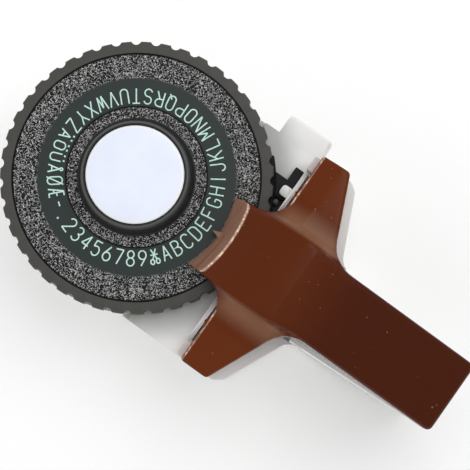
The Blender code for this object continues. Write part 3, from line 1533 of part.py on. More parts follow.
def build():
    pale = new_material("pale_plastic", (0.62, 0.63, 0.61), 0.45)
    brown = new_material("brown_plastic", (0.085, 0.026, 0.012), 0.30)
    black = new_material("black_plastic", (0.022, 0.026, 0.025), 0.42)
    disc_plastic = new_material("disc_plastic", (0.74, 0.76, 0.88), 0.40)
    tape_plastic = new_material("tape_plastic", (0.05, 0.16, 0.42), 0.30)
    white_plastic = new_material("spool_plastic", (0.70, 0.70, 0.68), 0.50)
    steel = new_material("steel", (0.55, 0.55, 0.56), 0.32, 1.0)
    rubber = new_material("rubber", (0.03, 0.03, 0.03), 0.80)

    base_housing(pale)
    deck_plate(pale)
    tape_exit_chute(pale)
    tape_guide_block(black)
    anvil_bracket(steel)
    lever_pin(steel)
    spool_pin(steel)
    guide_pin(steel)
    door_pin(steel)
    tape_strip(tape_plastic)
    dial_post(steel)
    hub_washer(steel)
    hub_screw(steel)
    screws(
        "housing_screw",
        SCREW_PLACES,
        SCREW_SHANK,
        SCREW_HEAD,
        GAP,
        GAP + SCREW_HEAD_HEIGHT,
        DECK_LOW_Z + SCREW_DEPTH - GAP,
        steel,
        drawing,
    )
    anvil_foot_top = DECK_TOP_Z + GAP + ANVIL_FOOT_THICKNESS
    screws(
        "anvil_screw",
        [(ANVIL_SCREW_X, -ANVIL_SCREW_Y), (ANVIL_SCREW_X, ANVIL_SCREW_Y)],
        SMALL_SHANK,
        SMALL_HEAD,
        anvil_foot_top + GAP + SMALL_HEAD_HEIGHT,
        anvil_foot_top + GAP,
        DECK_TOP_Z - SCREW_DEPTH + GAP,
        steel,
        drawing,
    )

    dial_axis = axis_empty("dial_axis", (0, 0, 0))
    dial(black, dial_axis)
    lower_die_disc(black, dial_axis)
    hub_disc(disc_plastic, dial_axis)

    detent_axis = axis_empty("detent_axis", (0, 0, 0))
    detent_plunger(steel, detent_axis)

    roll_axis = axis_empty("roll_axis", (0, ROLL_Y, ROLL_Z))
    core = tape_spool(white_plastic, roll_axis)
    tape_roll(tape_plastic, roll_axis, core)

    feed_axis = axis_empty("feed_axis", (0, FEED_Y, FEED_Z))
    feed_shaft(steel, feed_axis)
    feed_roller(rubber, feed_axis)
    ratchet_wheel(steel, feed_axis)

    pawl_axis = axis_empty("pawl_axis", (0, FEED_Y, FEED_Z))
    feed_pawl(steel, pawl_axis)

    cutter_axis = axis_empty("cutter_axis", (0, CUTTER_Y, 0))
    cutter_blade(steel, cutter_axis)
    cutter_button(black, cutter_axis)

    door_axis = axis_empty("door_axis", (0, DOOR_PIN_Y, DOOR_PIN_Z))
    magazine_door(pale, door_axis)

    lever_axis = axis_empty("lever_axis", (PIVOT_X, 0, PIVOT_Z))
    lever_cover(brown, lever_axis)
    hammer_arm(steel, lever_axis)
    hammer_head(steel, lever_axis)
    return_spring(steel, lever_axis)
    screws(
        "arm_screw",
        ARM_SCREW_PLACES,
        SMALL_SHANK,
        SMALL_HEAD,
        BAR_LOW_Z - GAP - SMALL_HEAD_HEIGHT,
        BAR_LOW_Z - GAP,
        BAR_TOP_Z + WALL,
        steel,
        lever_axis,
    )

    axes = (
        dial_axis, detent_axis, roll_axis, feed_axis, pawl_axis, cutter_axis, door_axis, lever_axis
    )
    for child in (*axes, *cutters.objects):
        child.parent = drawing


clear_scene()
parts = new_collection("embossing_label_maker")
cutters = new_collection("cutters")
drawing = axis_empty(
    "dial_centre", (-(LEVER_END_X - DIAL_RADIUS) / 2, -(CHUTE_END_Y - DIAL_RADIUS) / 2, 0)
)
build()
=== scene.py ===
"""An embossing label maker lying on a table, seen from above: a dial of characters, a brown
squeeze lever and a pale base. Places are given in millimetres from the dial's centre, with x
towards the grip, y towards the tape's exit and z up from the table."""

import json
import math

import bmesh
import bpy
from mathutils import Matrix, Vector


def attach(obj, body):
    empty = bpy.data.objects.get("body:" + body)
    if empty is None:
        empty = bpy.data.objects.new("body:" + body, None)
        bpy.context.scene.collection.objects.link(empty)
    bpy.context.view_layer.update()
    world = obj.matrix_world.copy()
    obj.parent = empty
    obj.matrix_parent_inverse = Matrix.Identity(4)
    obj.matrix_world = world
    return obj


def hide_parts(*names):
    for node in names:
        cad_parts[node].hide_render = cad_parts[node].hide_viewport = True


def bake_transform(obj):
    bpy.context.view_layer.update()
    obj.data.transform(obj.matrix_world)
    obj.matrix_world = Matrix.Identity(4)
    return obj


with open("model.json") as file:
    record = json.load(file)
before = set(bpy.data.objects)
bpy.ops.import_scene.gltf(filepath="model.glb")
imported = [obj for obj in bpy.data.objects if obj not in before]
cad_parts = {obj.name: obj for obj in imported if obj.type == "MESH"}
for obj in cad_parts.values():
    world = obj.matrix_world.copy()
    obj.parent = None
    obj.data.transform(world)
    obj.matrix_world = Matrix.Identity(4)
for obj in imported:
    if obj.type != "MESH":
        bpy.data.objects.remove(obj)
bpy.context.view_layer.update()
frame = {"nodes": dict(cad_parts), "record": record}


# The table, the camera and the lamps. The machine lies on a plain white table, in soft light
# from all sides: one wide lamp overhead, and a low one at the dial's side and at the grip's.

AXIS_X, AXIS_Y = -37.5, -1.0


def spot(x, y, z):
    """A place in the scene, from millimetres measured from the dial's axis and the table."""
    return Vector(((x + AXIS_X) / 1000, (y + AXIS_Y) / 1000, z / 1000))


scene = bpy.context.scene
scene.view_settings.view_transform = "Standard"

bpy.ops.object.select_all(action="DESELECT")
TABLE_WIDTH = 6
TABLE_SINK = 0.0002
bpy.ops.mesh.primitive_plane_add(size=TABLE_WIDTH, location=(0, 0, -TABLE_SINK))
table = bpy.context.object
table.name = "table"

camera_data = bpy.data.cameras.new("camera")
camera_data.sensor_width = 36
camera_data.lens = 129.68
camera_data.clip_start = 0.01
camera = bpy.data.objects.new("camera", camera_data)
scene.collection.objects.link(camera)
camera.location = spot(64.83, -24.25, 557.4)
camera.rotation_euler = [math.radians(turn) for turn in (4.380, 0.984, 35.246)]
scene.camera = camera


MACHINE = Vector((0, 0, 0.03))


def lamp(name, place, wide, tall, power):
    """A soft lamp of this width and height in metres and power in watts, aimed at the machine."""
    data = bpy.data.lights.new(name, "AREA")
    data.shape = "RECTANGLE"
    data.size = wide
    data.size_y = tall
    data.energy = power
    light = bpy.data.objects.new(name, data)
    scene.collection.objects.link(light)
    light.location = place
    light.rotation_euler = (MACHINE - Vector(place)).to_track_quat("-Z", "Y").to_euler()


lamp("overhead", (0.10, 0.55, 1.15), 0.9, 0.9, 5.2)
lamp("dial_side", (-0.88, 0.05, 0.22), 1.1, 0.30, 1.6)
lamp("grip_side", (0.60, -0.72, 0.16), 1.1, 0.14, 1.4)

world = bpy.data.worlds.new("room")
world.use_nodes = True
world.node_tree.nodes["Background"].inputs["Color"].default_value = (1, 1, 1, 1)
world.node_tree.nodes["Background"].inputs["Strength"].default_value = 0.72
scene.world = world


class Shade:
    """A value in a material, so that what changes over a surface is written as a sum."""

    def __init__(self, finish, socket):
        self.finish = finish
        self.socket = socket

    def sum(self, operation, *values):
        return self.finish.node("Math", {"operation": operation}, values)

    def __add__(self, other):
        return self.sum("ADD", self, other)

    def __sub__(self, other):
        return self.sum("SUBTRACT", self, other)

    def __rsub__(self, other):
        return self.sum("SUBTRACT", other, self)

    def __mul__(self, other):
        return self.sum("MULTIPLY", self, other)

    __radd__ = __add__
    __rmul__ = __mul__

    def far(self, other):
        """How far from the axis a place is that lies this much across and that much along."""
        return self.sum("POWER", self * self + other * other, 0.5)

    def size(self):
        """The value without its sign."""
        return self.sum("ABSOLUTE", self)

    def over(self, low, high):
        """0 up to low, 1 from high, and a soft step between."""
        return self.finish.node(
            "MapRange", {"interpolation_type": "SMOOTHSTEP"}, (self, low, high, 0.0, 1.0)
        )


class Finish:
    """A surface: a Principled shader and the nodes that vary it."""

    def __init__(self, name, colour, roughness, metallic=0.0):
        self.material = bpy.data.materials.new(name)
        self.material.use_nodes = True
        self.tree = self.material.node_tree
        self.shader = self.tree.nodes["Principled BSDF"]
        self.put("Base Color", (*colour, 1))
        self.put("Roughness", roughness)
        self.put("Metallic", metallic)
        self.place = self.node("TexCoord", output="Object")

    def feed(self, socket, value):
        if isinstance(value, Shade):
            self.tree.links.new(value.socket, socket)
        else:
            socket.default_value = value

    def put(self, socket, value):
        self.feed(self.shader.inputs[socket], value)

    def node(self, kind, settings=None, values=(), output=0):
        """A node of this kind: its settings, then its sockets by number or by name."""
        made = self.tree.nodes.new("ShaderNode" + kind)
        for setting, value in (settings or {}).items():
            setattr(made, setting, value)
        pairs = values.items() if isinstance(values, dict) else enumerate(values)
        for socket, value in pairs:
            self.feed(made.inputs[socket], value)
        return Shade(self, made.outputs[output])

    def measured(self):
        """A place in metres from the dial's axis and the table: across, along and up."""
        settled = {"Vector": self.place, "Location": tuple(-spot(0, 0, 0))}
        centred = self.node("Mapping", None, settled)
        return [self.node("SeparateXYZ", None, (centred,), output=axis) for axis in range(3)]

    def blend(self, share, first, second):
        """The first colour where share is 0, and the second where it is 1."""
        colours = [c if isinstance(c, Shade) else (*c, 1) for c in (first, second)]
        return self.node(
            "Mix", {"data_type": "RGBA"}, {0: share, 6: colours[0], 7: colours[1]}, output=2
        )

    def noise(self, scale, detail=3.0, roughness=0.5, place=None):
        values = {
            "Vector": place or self.place, "Scale": scale, "Detail": detail, "Roughness": roughness
        }
        return self.node("TexNoise", None, values)

    def relief(self, height, depth, edge=0.0):
        """Raises the surface by height times depth metres, with edges that look rounded."""
        values = {"Height": height, "Distance": depth, "Strength": 1.0}
        if edge:
            values["Normal"] = self.node("Bevel", {"samples": 4}, {"Radius": edge})
        self.put("Normal", self.node("Bump", None, values))


table_finish = Finish("white_table", (0.995, 0.995, 0.995), 0.9)
table.data.materials.append(table_finish.material)


# The base: a housing, the deck screwed on it and the chute at the tape's exit. All are
# moulded in pale grey plastic with a fine satin skin, a little glossier where hands rub it.


def alone(piece):
    """Selects this piece and nothing else."""
    bpy.ops.object.select_all(action="DESELECT")
    piece.select_set(True)
    bpy.context.view_layer.objects.active = piece


def dressed(node, finish, angle=35, rides=True):
    """A merged copy of a solid, smooth where its faces turn by less than the angle, which
    stands for the solid and moves with its body."""
    solid = frame["nodes"][node]
    piece = solid.copy()
    piece.data = solid.data.copy()
    piece.name = node + "_shown"
    scene.collection.objects.link(piece)
    piece.parent = None
    alone(piece)
    bpy.ops.object.mode_set(mode="EDIT")
    bpy.ops.mesh.select_all(action="SELECT")
    bpy.ops.mesh.remove_doubles(threshold=0.000001)
    bpy.ops.object.mode_set(mode="OBJECT")
    bpy.ops.object.shade_smooth_by_angle(angle=math.radians(angle))
    piece.data.materials.clear()
    piece.data.materials.append(finish.material)
    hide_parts(node)
    if rides:
        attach(piece, body_of[node])
    return piece


bodies = frame["record"]["behaviour"]["bodies"]
body_of = {node: body for body, nodes in bodies.items() for node in nodes}

pale = Finish("pale_plastic", (0.66, 0.67, 0.65), 0.42)
cloud = pale.noise(60, 4)
skin = pale.noise(2600, 2)
unshaded_pale = pale.blend(cloud.over(0.3, 0.75), (0.85, 0.845, 0.83), (0.78, 0.78, 0.765))

# Painted shade on the deck round the dial, where the dial's shadow falls, broken up by the cloud
across, along, up = pale.measured()
near_dial = 1 - across.far(along).over(0.044, 0.0535)
on_deck = up.over(0.030, 0.036) * (1 - up.over(0.0374, 0.0384))
painted_dial_shade = near_dial * on_deck * (0.8 + 0.4 * cloud)
pale.put("Base Color", pale.blend(painted_dial_shade, unshaded_pale, (0.45, 0.455, 0.44)))
pale.put("Roughness", 0.34 + 0.16 * cloud + 0.06 * skin)
pale.relief(skin + 0.5 * pale.noise(500, 3), 0.000012, edge=0.0003)

for node in ("base_housing", "deck_plate", "tape_exit_chute", "magazine_door"):
    dressed(node, pale, 22)


# The steel pieces inside: pins, screws, the arm and its head, the bridge over the dial's rim,
# the return spring, the blade and the ratchet. Bright zinc, brushed and a little uneven.

steel = Finish("zinc_steel", (0.55, 0.55, 0.56), 0.3, metallic=1.0)
brushed = steel.noise(900, 4)
blotch = steel.noise(140, 3)
steel.put("Base Color", steel.blend(blotch.over(0.35, 0.7), (0.58, 0.58, 0.59), (0.47, 0.47, 0.48)))
steel.put("Roughness", 0.22 + 0.22 * brushed)
steel.relief(brushed, 0.00001, edge=0.0002)

for node, slot in ((n["node"], n["material_slot"]) for n in frame["record"]["subparts"]):
    if slot == "steel" and node not in ("detent_plunger", "return_spring"):
        dressed(node, steel)

# The return spring stands on the base, and rides with no body
spring = dressed("return_spring", steel, rides=False)
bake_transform(spring)

# The detent plunger is blackened, and dull
blackened = Finish("blackened_steel", (0.060, 0.062, 0.062), 0.5)
blackened.put("Roughness", 0.4 + 0.2 * blackened.noise(900, 3))
blackened.relief(blackened.noise(1500, 3), 0.00001, edge=0.0002)
dressed("detent_plunger", blackened)


# The tape, its spool, the rubber feed roller and the black moulded pieces by the dial.

tape_film = Finish("blue_tape", (0.04, 0.14, 0.40), 0.25)
tape_film.put("Roughness", 0.2 + 0.2 * tape_film.noise(700, 3))
tape_film.relief(tape_film.noise(1500, 2), 0.00001)
spool_plastic = Finish("spool_plastic", (0.72, 0.72, 0.70), 0.5)
spool_plastic.relief(spool_plastic.noise(1200, 3), 0.00001, edge=0.0002)
rubber = Finish("feed_rubber", (0.03, 0.03, 0.03), 0.8)
rubber.relief(rubber.noise(2500, 3), 0.00004, edge=0.0003)
black = Finish("black_plastic", (0.007, 0.007, 0.008), 0.4)
black.put("Specular IOR Level", 0.15)
black.put("Roughness", 0.33 + 0.2 * black.noise(400, 4))
black.relief(black.noise(2200, 3), 0.00002, edge=0.0003)

for node in ("tape_strip", "tape_roll"):
    dressed(node, tape_film)
dressed("tape_spool", spool_plastic)
dressed("feed_roller", rubber)
for node in ("lower_die_disc", "tape_guide_block", "cutter_button"):
    dressed(node, black, 25)


# The dial: one black moulding with thumb notches round its rim, two rings grained like
# leather, a smooth ring that carries the characters, and a collar round the hub.

CHARACTERS = 43
PITCH = 2 * math.pi / CHARACTERS


def rings(name, profile, sides, bored=True):
    """A turned piece about the dial's axis, from (radius, height) millimetres. It has a bore,
    or else its profile starts and ends close to the axis, where the piece closes."""
    bpy.ops.object.select_all(action="DESELECT")
    first_radius, first_height = profile[0]
    bpy.ops.mesh.primitive_circle_add(
        vertices=sides, radius=first_radius / 1000, location=spot(0, 0, first_height)
    )
    piece = bpy.context.object
    piece.name = name
    bpy.ops.object.mode_set(mode="EDIT")
    bpy.ops.mesh.select_all(action="SELECT")
    onward = profile[1:] + profile[:1] if bored else profile[1:]
    for (radius, height), (wide, tall) in zip(profile, onward):
        rise = {"value": (0, 0, (tall - height) / 1000)}
        bpy.ops.mesh.extrude_edges_move(TRANSFORM_OT_translate=rise)
        wider = wide / radius
        bpy.ops.transform.resize(value=(wider, wider, 1), center_override=spot(0, 0, tall))
    bpy.ops.mesh.select_all(action="SELECT")
    bpy.ops.mesh.remove_doubles(threshold=0.000002)
    bpy.ops.mesh.normals_make_consistent(inside=False)
    bpy.ops.object.mode_set(mode="OBJECT")
    bpy.ops.object.transform_apply(location=True, rotation=True, scale=True)
    return piece


dial_profile = [
    (6.7, 49.39), (15.25, 49.39), (15.25, 50.3), (15.4, 50.5), (15.95, 50.5), (16.2, 50.35),
    (16.35, 49.9), (17.4, 44.4), (17.8, 43.55), (18.2, 43.35), (21.5, 43.35), (21.6, 43.2),
    (21.8, 43.2), (21.9, 43.4), (30.0, 43.4), (37.8, 43.4), (37.9, 43.1), (38.2, 43.1),
    (38.3, 43.4), (41.3, 43.48), (41.75, 43.3), (41.95, 42.9), (41.95, 37.9), (41.6, 37.5),
    (39.8, 37.5), (39.8, 35.02), (31.0, 35.02),
    (31.0, 41.5), (9.0, 41.5), (9.0, 34.32), (4.32, 34.32), (4.32, 46.7), (6.7, 46.7),
]
DIAL_SIDES = 8 * CHARACTERS
dial = rings("dial_moulding", dial_profile, DIAL_SIDES)

# The thumb notches round the rim, each taken out by a round tool that stands on the rim's edge
NOTCH_RADIUS = 0.00162
NOTCH_TALL = 0.008
NOTCH_CENTRE = spot(42.47, 0, 40.5)
bpy.ops.object.select_all(action="DESELECT")
bpy.ops.mesh.primitive_cylinder_add(
    vertices=40, radius=NOTCH_RADIUS, depth=NOTCH_TALL, location=NOTCH_CENTRE
)
scoop = bpy.context.object
bpy.ops.object.transform_apply(location=True, rotation=True, scale=True)
scoops = [scoop]
for number in range(1, CHARACTERS):
    copy = scoop.copy()
    copy.data = scoop.data.copy()
    scene.collection.objects.link(copy)
    hub = spot(0, 0, 0)
    copy.data.transform(
        Matrix.Translation(hub) @ Matrix.Rotation(number * PITCH, 4, "Z") @ Matrix.Translation(-hub)
    )
    scoops.append(copy)
bpy.ops.object.select_all(action="DESELECT")
for copy in scoops:
    copy.select_set(True)
bpy.context.view_layer.objects.active = scoop
bpy.ops.object.join()


def carve(piece, tool, operation="DIFFERENCE"):
    """Takes the tool's shape out of a piece, or joins it on, and removes the tool."""
    modifier = piece.modifiers.new(operation, "BOOLEAN")
    modifier.operation = operation
    modifier.object = tool
    bpy.context.view_layer.objects.active = piece
    bpy.ops.object.modifier_apply(modifier=modifier.name)
    bpy.data.objects.remove(tool)


carve(dial, scoop)
alone(dial)
bpy.ops.object.shade_smooth_by_angle(angle=math.radians(32))

dial_finish = Finish("dial_plastic", (0.016, 0.019, 0.018), 0.3)
dial_finish.put("Specular IOR Level", 0.22)
across, along, up = dial_finish.measured()
radius = across.far(along)
top = up.over(0.04305, 0.0431)


def band(inner, outer, soft=0.00012):
    """1 on the dial's top between two radii, and 0 elsewhere, with soft edges."""
    return radius.over(inner - soft, inner) * (1 - radius.over(outer, outer + soft)) * top


grained = band(0.0183, 0.0214) + band(0.0310, 0.0377, 0.0008)
fine = dial_finish.noise(1350, 2, 0.55)
coarse = dial_finish.noise(900, 1)
grain_and_glints = 1 - (fine - 0.5).size().over(0.006, 0.046)
grit = dial_finish.noise(3400, 2)
groove_shade = band(0.0215, 0.0219) + band(0.0378, 0.0383)
smooth_ring = band(0.0220, 0.0306, 0.0004)
rim = radius.over(0.0383, 0.0385)
plastic = dial_finish.blend(smooth_ring, (0.016, 0.017, 0.017), (0.023, 0.032, 0.030))
# The collar's flat top is painted lighter grey: a painted sheen on the black moulding
collar_top_sheen = radius.over(0.01560, 0.01572) * (1 - radius.over(0.0163, 0.0169))
plastic = dial_finish.blend(collar_top_sheen, plastic, (0.082, 0.082, 0.080))
# The rim is a lighter grey than the rest of the moulding, varied by grit
lighter_rim = dial_finish.blend(grit, (0.050, 0.049, 0.044), (0.070, 0.068, 0.062))
plastic = dial_finish.blend(rim, plastic, lighter_rim)
# The grained rings: the grain is real in the bump, and its worm lines are painted light grey as
# painted glints
plastic = dial_finish.blend(grained, plastic, dial_finish.blend(
    grain_and_glints * (0.55 + 0.75 * coarse), (0.0015, 0.0015, 0.0015), (0.84, 0.84, 0.83)
))
# The two grooves are painted near-black: painted shade in the grooves
dial_finish.put("Base Color", dial_finish.blend(groove_shade, plastic, (0.003, 0.003, 0.003)))
dial_finish.put("Roughness", 0.42 - 0.10 * smooth_ring + 0.10 * grit)
dial_finish.relief(grain_and_glints * grained + 0.05 * grit, 0.00016)
dial.data.materials.append(dial_finish.material)
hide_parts("dial")
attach(dial, "dial_head")


# The guide block's foot: a thin black lip on the deck, which reaches under the dial's rim and
# closes the gap between the two. Its black also stands in for the shade that falls in that gap.

foot_profile = [(40.8, 37.02), (42.75, 37.02), (42.75, 37.4), (40.8, 37.4)]
black_lip_for_shade = rings("guide_block_foot_and_shade", foot_profile, DIAL_SIDES)
bpy.ops.mesh.primitive_cube_add(size=1, location=spot(36, 22, 37.2), scale=(0.016, 0.016, 0.002))
foot_span = bpy.context.object
bpy.ops.object.transform_apply(location=True, rotation=True, scale=True)
carve(black_lip_for_shade, foot_span, "INTERSECT")
black_lip_for_shade.data.materials.append(black.material)
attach(black_lip_for_shade, body_of["tape_guide_block"])


# The characters: thin letters, digits and signs in pale green, stamped on the smooth ring with
# their tops to the hub. Each is drawn on a grid 4 wide and 8 high.


def bow(x, y, wide, tall, start, end):
    """Points along an oval round a centre, from one angle in degrees to another."""
    steps = max(3, round(abs(end - start) / 18))
    turns = [math.radians(start + (end - start) * step / steps) for step in range(steps + 1)]
    return [(x + wide * math.cos(turn), y + tall * math.sin(turn)) for turn in turns]


LOW_SHARE = 0.78


def low(strokes):
    """The same strokes pressed down, to leave room for a mark over them."""
    return [[(x, y * LOW_SHARE) for x, y in stroke] for stroke in strokes]


SHARP_TURN = 0.6


def runs(stroke):
    """A stroke cut up at its sharp corners, where one tube would pinch."""
    pieces = [[stroke[0]]]
    for before, here, after in zip(stroke, stroke[1:], stroke[2:] + [None]):
        pieces[-1].append(here)
        if after:
            way, next_way = Vector(here) - Vector(before), Vector(after) - Vector(here)
            if way.length and next_way.length and way.angle(next_way) > SHARP_TURN:
                pieces.append([here])
    return pieces


O = [bow(2, 6, 2, 2, 0, 180) + bow(2, 2, 2, 2, 180, 360) + [(4, 6)]]
A = [[(0, 0), (2, 8), (4, 0)], [(0.7, 2.7), (3.3, 2.7)]]
U = [[(0, 8)] + bow(2, 2, 2, 2, 180, 360) + [(4, 8)]]
P = [[(0, 0), (0, 8)] + bow(2, 6, 2, 2, 90, -90) + [(0, 4)]]
dots = [bow(x, 7.75, 0.22, 0.18, 0, 360) for x in (0.7, 3.3)]
signs = [
    [[(0.7, 4), (3.3, 4)]],
    [bow(2, 0.4, 0.22, 0.18, 0, 360)],
    [bow(2, 6, 2, 2, 170, -35) + [(0, 0), (4, 0)]],
    [bow(2, 6.1, 1.8, 1.9, 150, -90), bow(2, 2.1, 2, 2.1, 90, -150)],
    [[(3, 0), (3, 8), (0, 2.4), (4, 2.4)]],
    [[(3.8, 8), (0.5, 8), (0.3, 4.7)] + bow(2, 2.6, 2, 2.6, 115, -150)],
    [[(3.1, 8), (0.3, 3.6)], bow(2, 2.3, 2, 2.3, 0, 360)],
    [[(0, 8), (4, 8), (1.4, 0)]],
    [bow(2, 6.1, 1.7, 1.9, 0, 360), bow(2, 2.1, 2, 2.1, 0, 360)],
    [bow(2, 5.7, 2, 2.3, 0, 360), [(3.7, 4.4), (0.9, 0)]],
    [[(0.7, 8), (3, 2.8)], [(3.3, 8), (1, 2.8)], bow(0.5, 1.3, 1, 1.3, 0, 360),
     bow(3.5, 1.3, 1, 1.3, 0, 360), [(0, 5), (4, 5)]],
    A,
    [[(0, 0), (0, 8), (1.8, 8)] + bow(1.8, 6.1, 1.9, 1.9, 90, -90) + [(0, 4.2)],
     [(0, 4.2), (1.9, 4.2)] + bow(1.9, 2.1, 2.1, 2.1, 90, -90) + [(0, 0)]],
    [bow(2, 6, 2, 2, 15, 180) + bow(2, 2, 2, 2, 180, 345)],
    [[(0, 0), (0, 8), (1.6, 8)] + bow(1.6, 5.6, 2.4, 2.4, 90, 0) + bow(1.6, 2.4, 2.4, 2.4, 0, -90)
     + [(0, 0)]],
    [[(3.9, 8), (0, 8), (0, 0), (3.9, 0)], [(0, 4.2), (3.2, 4.2)]],
    [[(3.9, 8), (0, 8), (0, 0)], [(0, 4.2), (3.2, 4.2)]],
    [bow(2, 6, 2, 2, 15, 180) + bow(2, 2, 2, 2, 180, 360) + [(4, 3.7), (2.3, 3.7)]],
    [[(0, 0), (0, 8)], [(4, 0), (4, 8)], [(0, 4.2), (4, 4.2)]],
    [[(2, 0), (2, 8)]],
    [[(3.6, 8)] + bow(1.8, 1.9, 1.8, 1.9, 0, -180)],
    [[(0, 0), (0, 8)], [(3.9, 8), (0, 3.2)], [(1.3, 4.8), (4, 0)]],
    [[(0, 8), (0, 0), (3.8, 0)]],
    [[(0, 0), (0, 8), (2, 3), (4, 8), (4, 0)]],
    [[(0, 0), (0, 8), (4, 0), (4, 8)]],
    O,
    P,
    O + [[(2.4, 2), (4.2, -0.5)]],
    P + [[(1.9, 4), (4, 0)]],
    [bow(2, 6, 1.9, 2, 15, 270) + bow(2, 2, 2, 2, 90, -165)],
    [[(0, 8), (4, 8)], [(2, 8), (2, 0)]],
    U,
    [[(0, 8), (2, 0), (4, 8)]],
    [[(-0.4, 8), (0.9, 0), (2, 6.5), (3.1, 0), (4.4, 8)]],
    [[(0, 0), (4, 8)], [(0, 8), (4, 0)]],
    [[(0, 8), (2, 4), (4, 8)], [(2, 4), (2, 0)]],
    [[(0, 8), (4, 8), (0, 0), (4, 0)]],
    low(A) + dots,
    low(O) + dots,
    low(U) + dots,
    low(A) + [bow(2, 7.2, 0.7, 0.8, 0, 360)],
    O + [[(-0.2, -0.4), (4.2, 8.4)]],
    [[(-0.3, 0), (1.9, 8), (4.3, 8)], [(2.2, 8), (2.2, 0), (4.3, 0)], [(2.2, 4.2), (4, 4.2)],
     [(0.5, 2.8), (2.2, 2.8)]],
]
# The character that points along x, the radius where the feet stand, the size of one step of
# the grid to the hub and along the ring, and half of a stroke's width
ON_X = 15
FEET_RADIUS = 27.3
STEP_INWARD = 0.575
STEP_ALONG = 0.57
GRID_MIDDLE = 2
STROKE = 0.00022
curve = bpy.data.curves.new("characters", "CURVE")
curve.dimensions = "3D"
curve.bevel_depth = STROKE
curve.bevel_resolution = 2
curve.use_fill_caps = True
for number, strokes in enumerate(signs):
    angle = (number - ON_X) * PITCH
    outward = Vector((math.cos(angle), math.sin(angle), 0))
    onward = Vector((-math.sin(angle), math.cos(angle), 0))
    for run in (run for stroke in strokes for run in runs(stroke)):
        spline = curve.splines.new("POLY")
        spline.points.add(len(run) - 1)
        for point, (x, y) in zip(spline.points, run):
            flat = outward * (FEET_RADIUS - STEP_INWARD * y)
            flat += onward * (STEP_ALONG * (x - GRID_MIDDLE))
            point.co = (*spot(flat.x, flat.y, 0), 1)
characters = bpy.data.objects.new("characters", curve)
scene.collection.objects.link(characters)
alone(characters)
bpy.ops.object.convert(target="MESH")
characters = bpy.context.object
RING_TOP = 0.04340
FLATTENED = 0.30
pressed = Matrix.Translation((0, 0, RING_TOP)) @ Matrix.Diagonal((1, 1, FLATTENED, 1))
characters.data.transform(pressed)
bpy.ops.object.shade_smooth()
letter_green = Finish("letter_green", (0.50, 0.76, 0.68), 0.5)
worn = letter_green.noise(1300, 3)
letter_green.put(
    "Base Color", letter_green.blend(worn.over(0.35, 0.7), (0.62, 0.85, 0.77), (0.46, 0.74, 0.65))
)
letter_green.relief(letter_green.noise(3000, 2), 0.00001)
characters.data.materials.append(letter_green.material)
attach(characters, "dial_head")


# The hub's pale disc: a thin round cover pressed into the collar, faintly crowned, with a
# satin face that looks a little blue.

# A profile can't start at radius 0, so it starts this far out in millimetres, and closes there
ON_AXIS = 0.0005
hub_profile = [
    (ON_AXIS, 50.45), (4.0, 50.45), (8.0, 50.42), (12.0, 50.35), (14.1, 50.28), (14.65, 50.18),
    (14.95, 49.95), (14.95, 49.72), (ON_AXIS, 49.72),
]
hub_disc = rings("hub_disc_cover", hub_profile, 128, bored=False)
alone(hub_disc)
bpy.ops.object.shade_smooth_by_angle(angle=math.radians(40))
disc_finish = Finish("hub_disc_plastic", (0.74, 0.79, 0.93), 0.35)
disc_cloud = disc_finish.noise(90, 3)
disc_face = disc_finish.blend(
    disc_cloud.over(0.3, 0.7), (0.82, 0.865, 0.975), (0.78, 0.825, 0.955)
)
across, along, up = disc_finish.measured()
# A painted highlight: the disc's edge is painted near white all round
disc_edge_highlight = across.far(along).over(0.0141, 0.0144)
disc_finish.put("Base Color", disc_finish.blend(0.9 * disc_edge_highlight, disc_face, (0.97, 0.98, 1.0)))
disc_finish.relief(disc_finish.noise(1800, 3), 0.00001)
hub_disc.data.materials.append(disc_finish.material)
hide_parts("hub_disc")
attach(hub_disc, "dial_head")


# The squeeze lever: one hollow moulding in glossy brown plastic, with a nose over the dial, a
# hump, two wings that carry it on the hinge pin, and the long grip.


def trimmed(name, low, high, cuts):
    """A block trimmed by flat cuts: each is a place on the cut and the way the cut faces."""
    bpy.ops.object.select_all(action="DESELECT")
    bpy.ops.mesh.primitive_cube_add(size=1)
    piece = bpy.context.object
    piece.name = name
    low, high = spot(*low), spot(*high)
    piece.location = (low + high) / 2
    piece.scale = high - low
    bpy.ops.object.transform_apply(location=True, rotation=True, scale=True)
    bpy.ops.object.mode_set(mode="EDIT")
    for place, facing in cuts:
        bpy.ops.mesh.select_all(action="SELECT")
        plane_no = Vector(facing).normalized()
        bpy.ops.mesh.bisect(
            plane_co=spot(*place), plane_no=plane_no, use_fill=True, clear_outer=True
        )
    bpy.ops.object.mode_set(mode="OBJECT")
    return piece


def both_sides(cuts):
    """Cuts on the y side, and the same cuts mirrored."""
    return cuts + [((x, -y, z), (a, -b, c)) for (x, y, z), (a, b, c) in cuts]


def lined(corners, view):
    """Cuts through a row of corners, seen from the side or from above, with the waste on the
    right of the way from each corner to the next."""
    found = []
    for (x, up), (next_x, next_up) in zip(corners, corners[1:]):
        away = (next_up - up, x - next_x)
        if view == "side":
            found.append(((x, 0, up), (away[0], 0, away[1])))
        else:
            found.append(((x, up, 0), (away[0], away[1], 0)))
    return found


def rounded_edges(piece, width, segments, wanted):
    """Bevels the edges that are wanted, judged by their middle in millimetres and the two
    faces' directions."""
    alone(piece)
    bpy.ops.object.mode_set(mode="EDIT")
    bpy.ops.mesh.select_all(action="DESELECT")
    edit = bmesh.from_edit_mesh(piece.data)
    for edge in edit.edges:
        middle = ((edge.verts[0].co + edge.verts[1].co) / 2 - spot(0, 0, 0)) * 1000
        sides = [face.normal for face in edge.link_faces]
        if len(sides) == 2 and wanted(middle, *sides):
            edge.select_set(True)
    bmesh.update_edit_mesh(piece.data)
    bpy.ops.mesh.bevel(offset=width / 1000, segments=segments, affect="EDGES")
    bpy.ops.object.mode_set(mode="OBJECT")


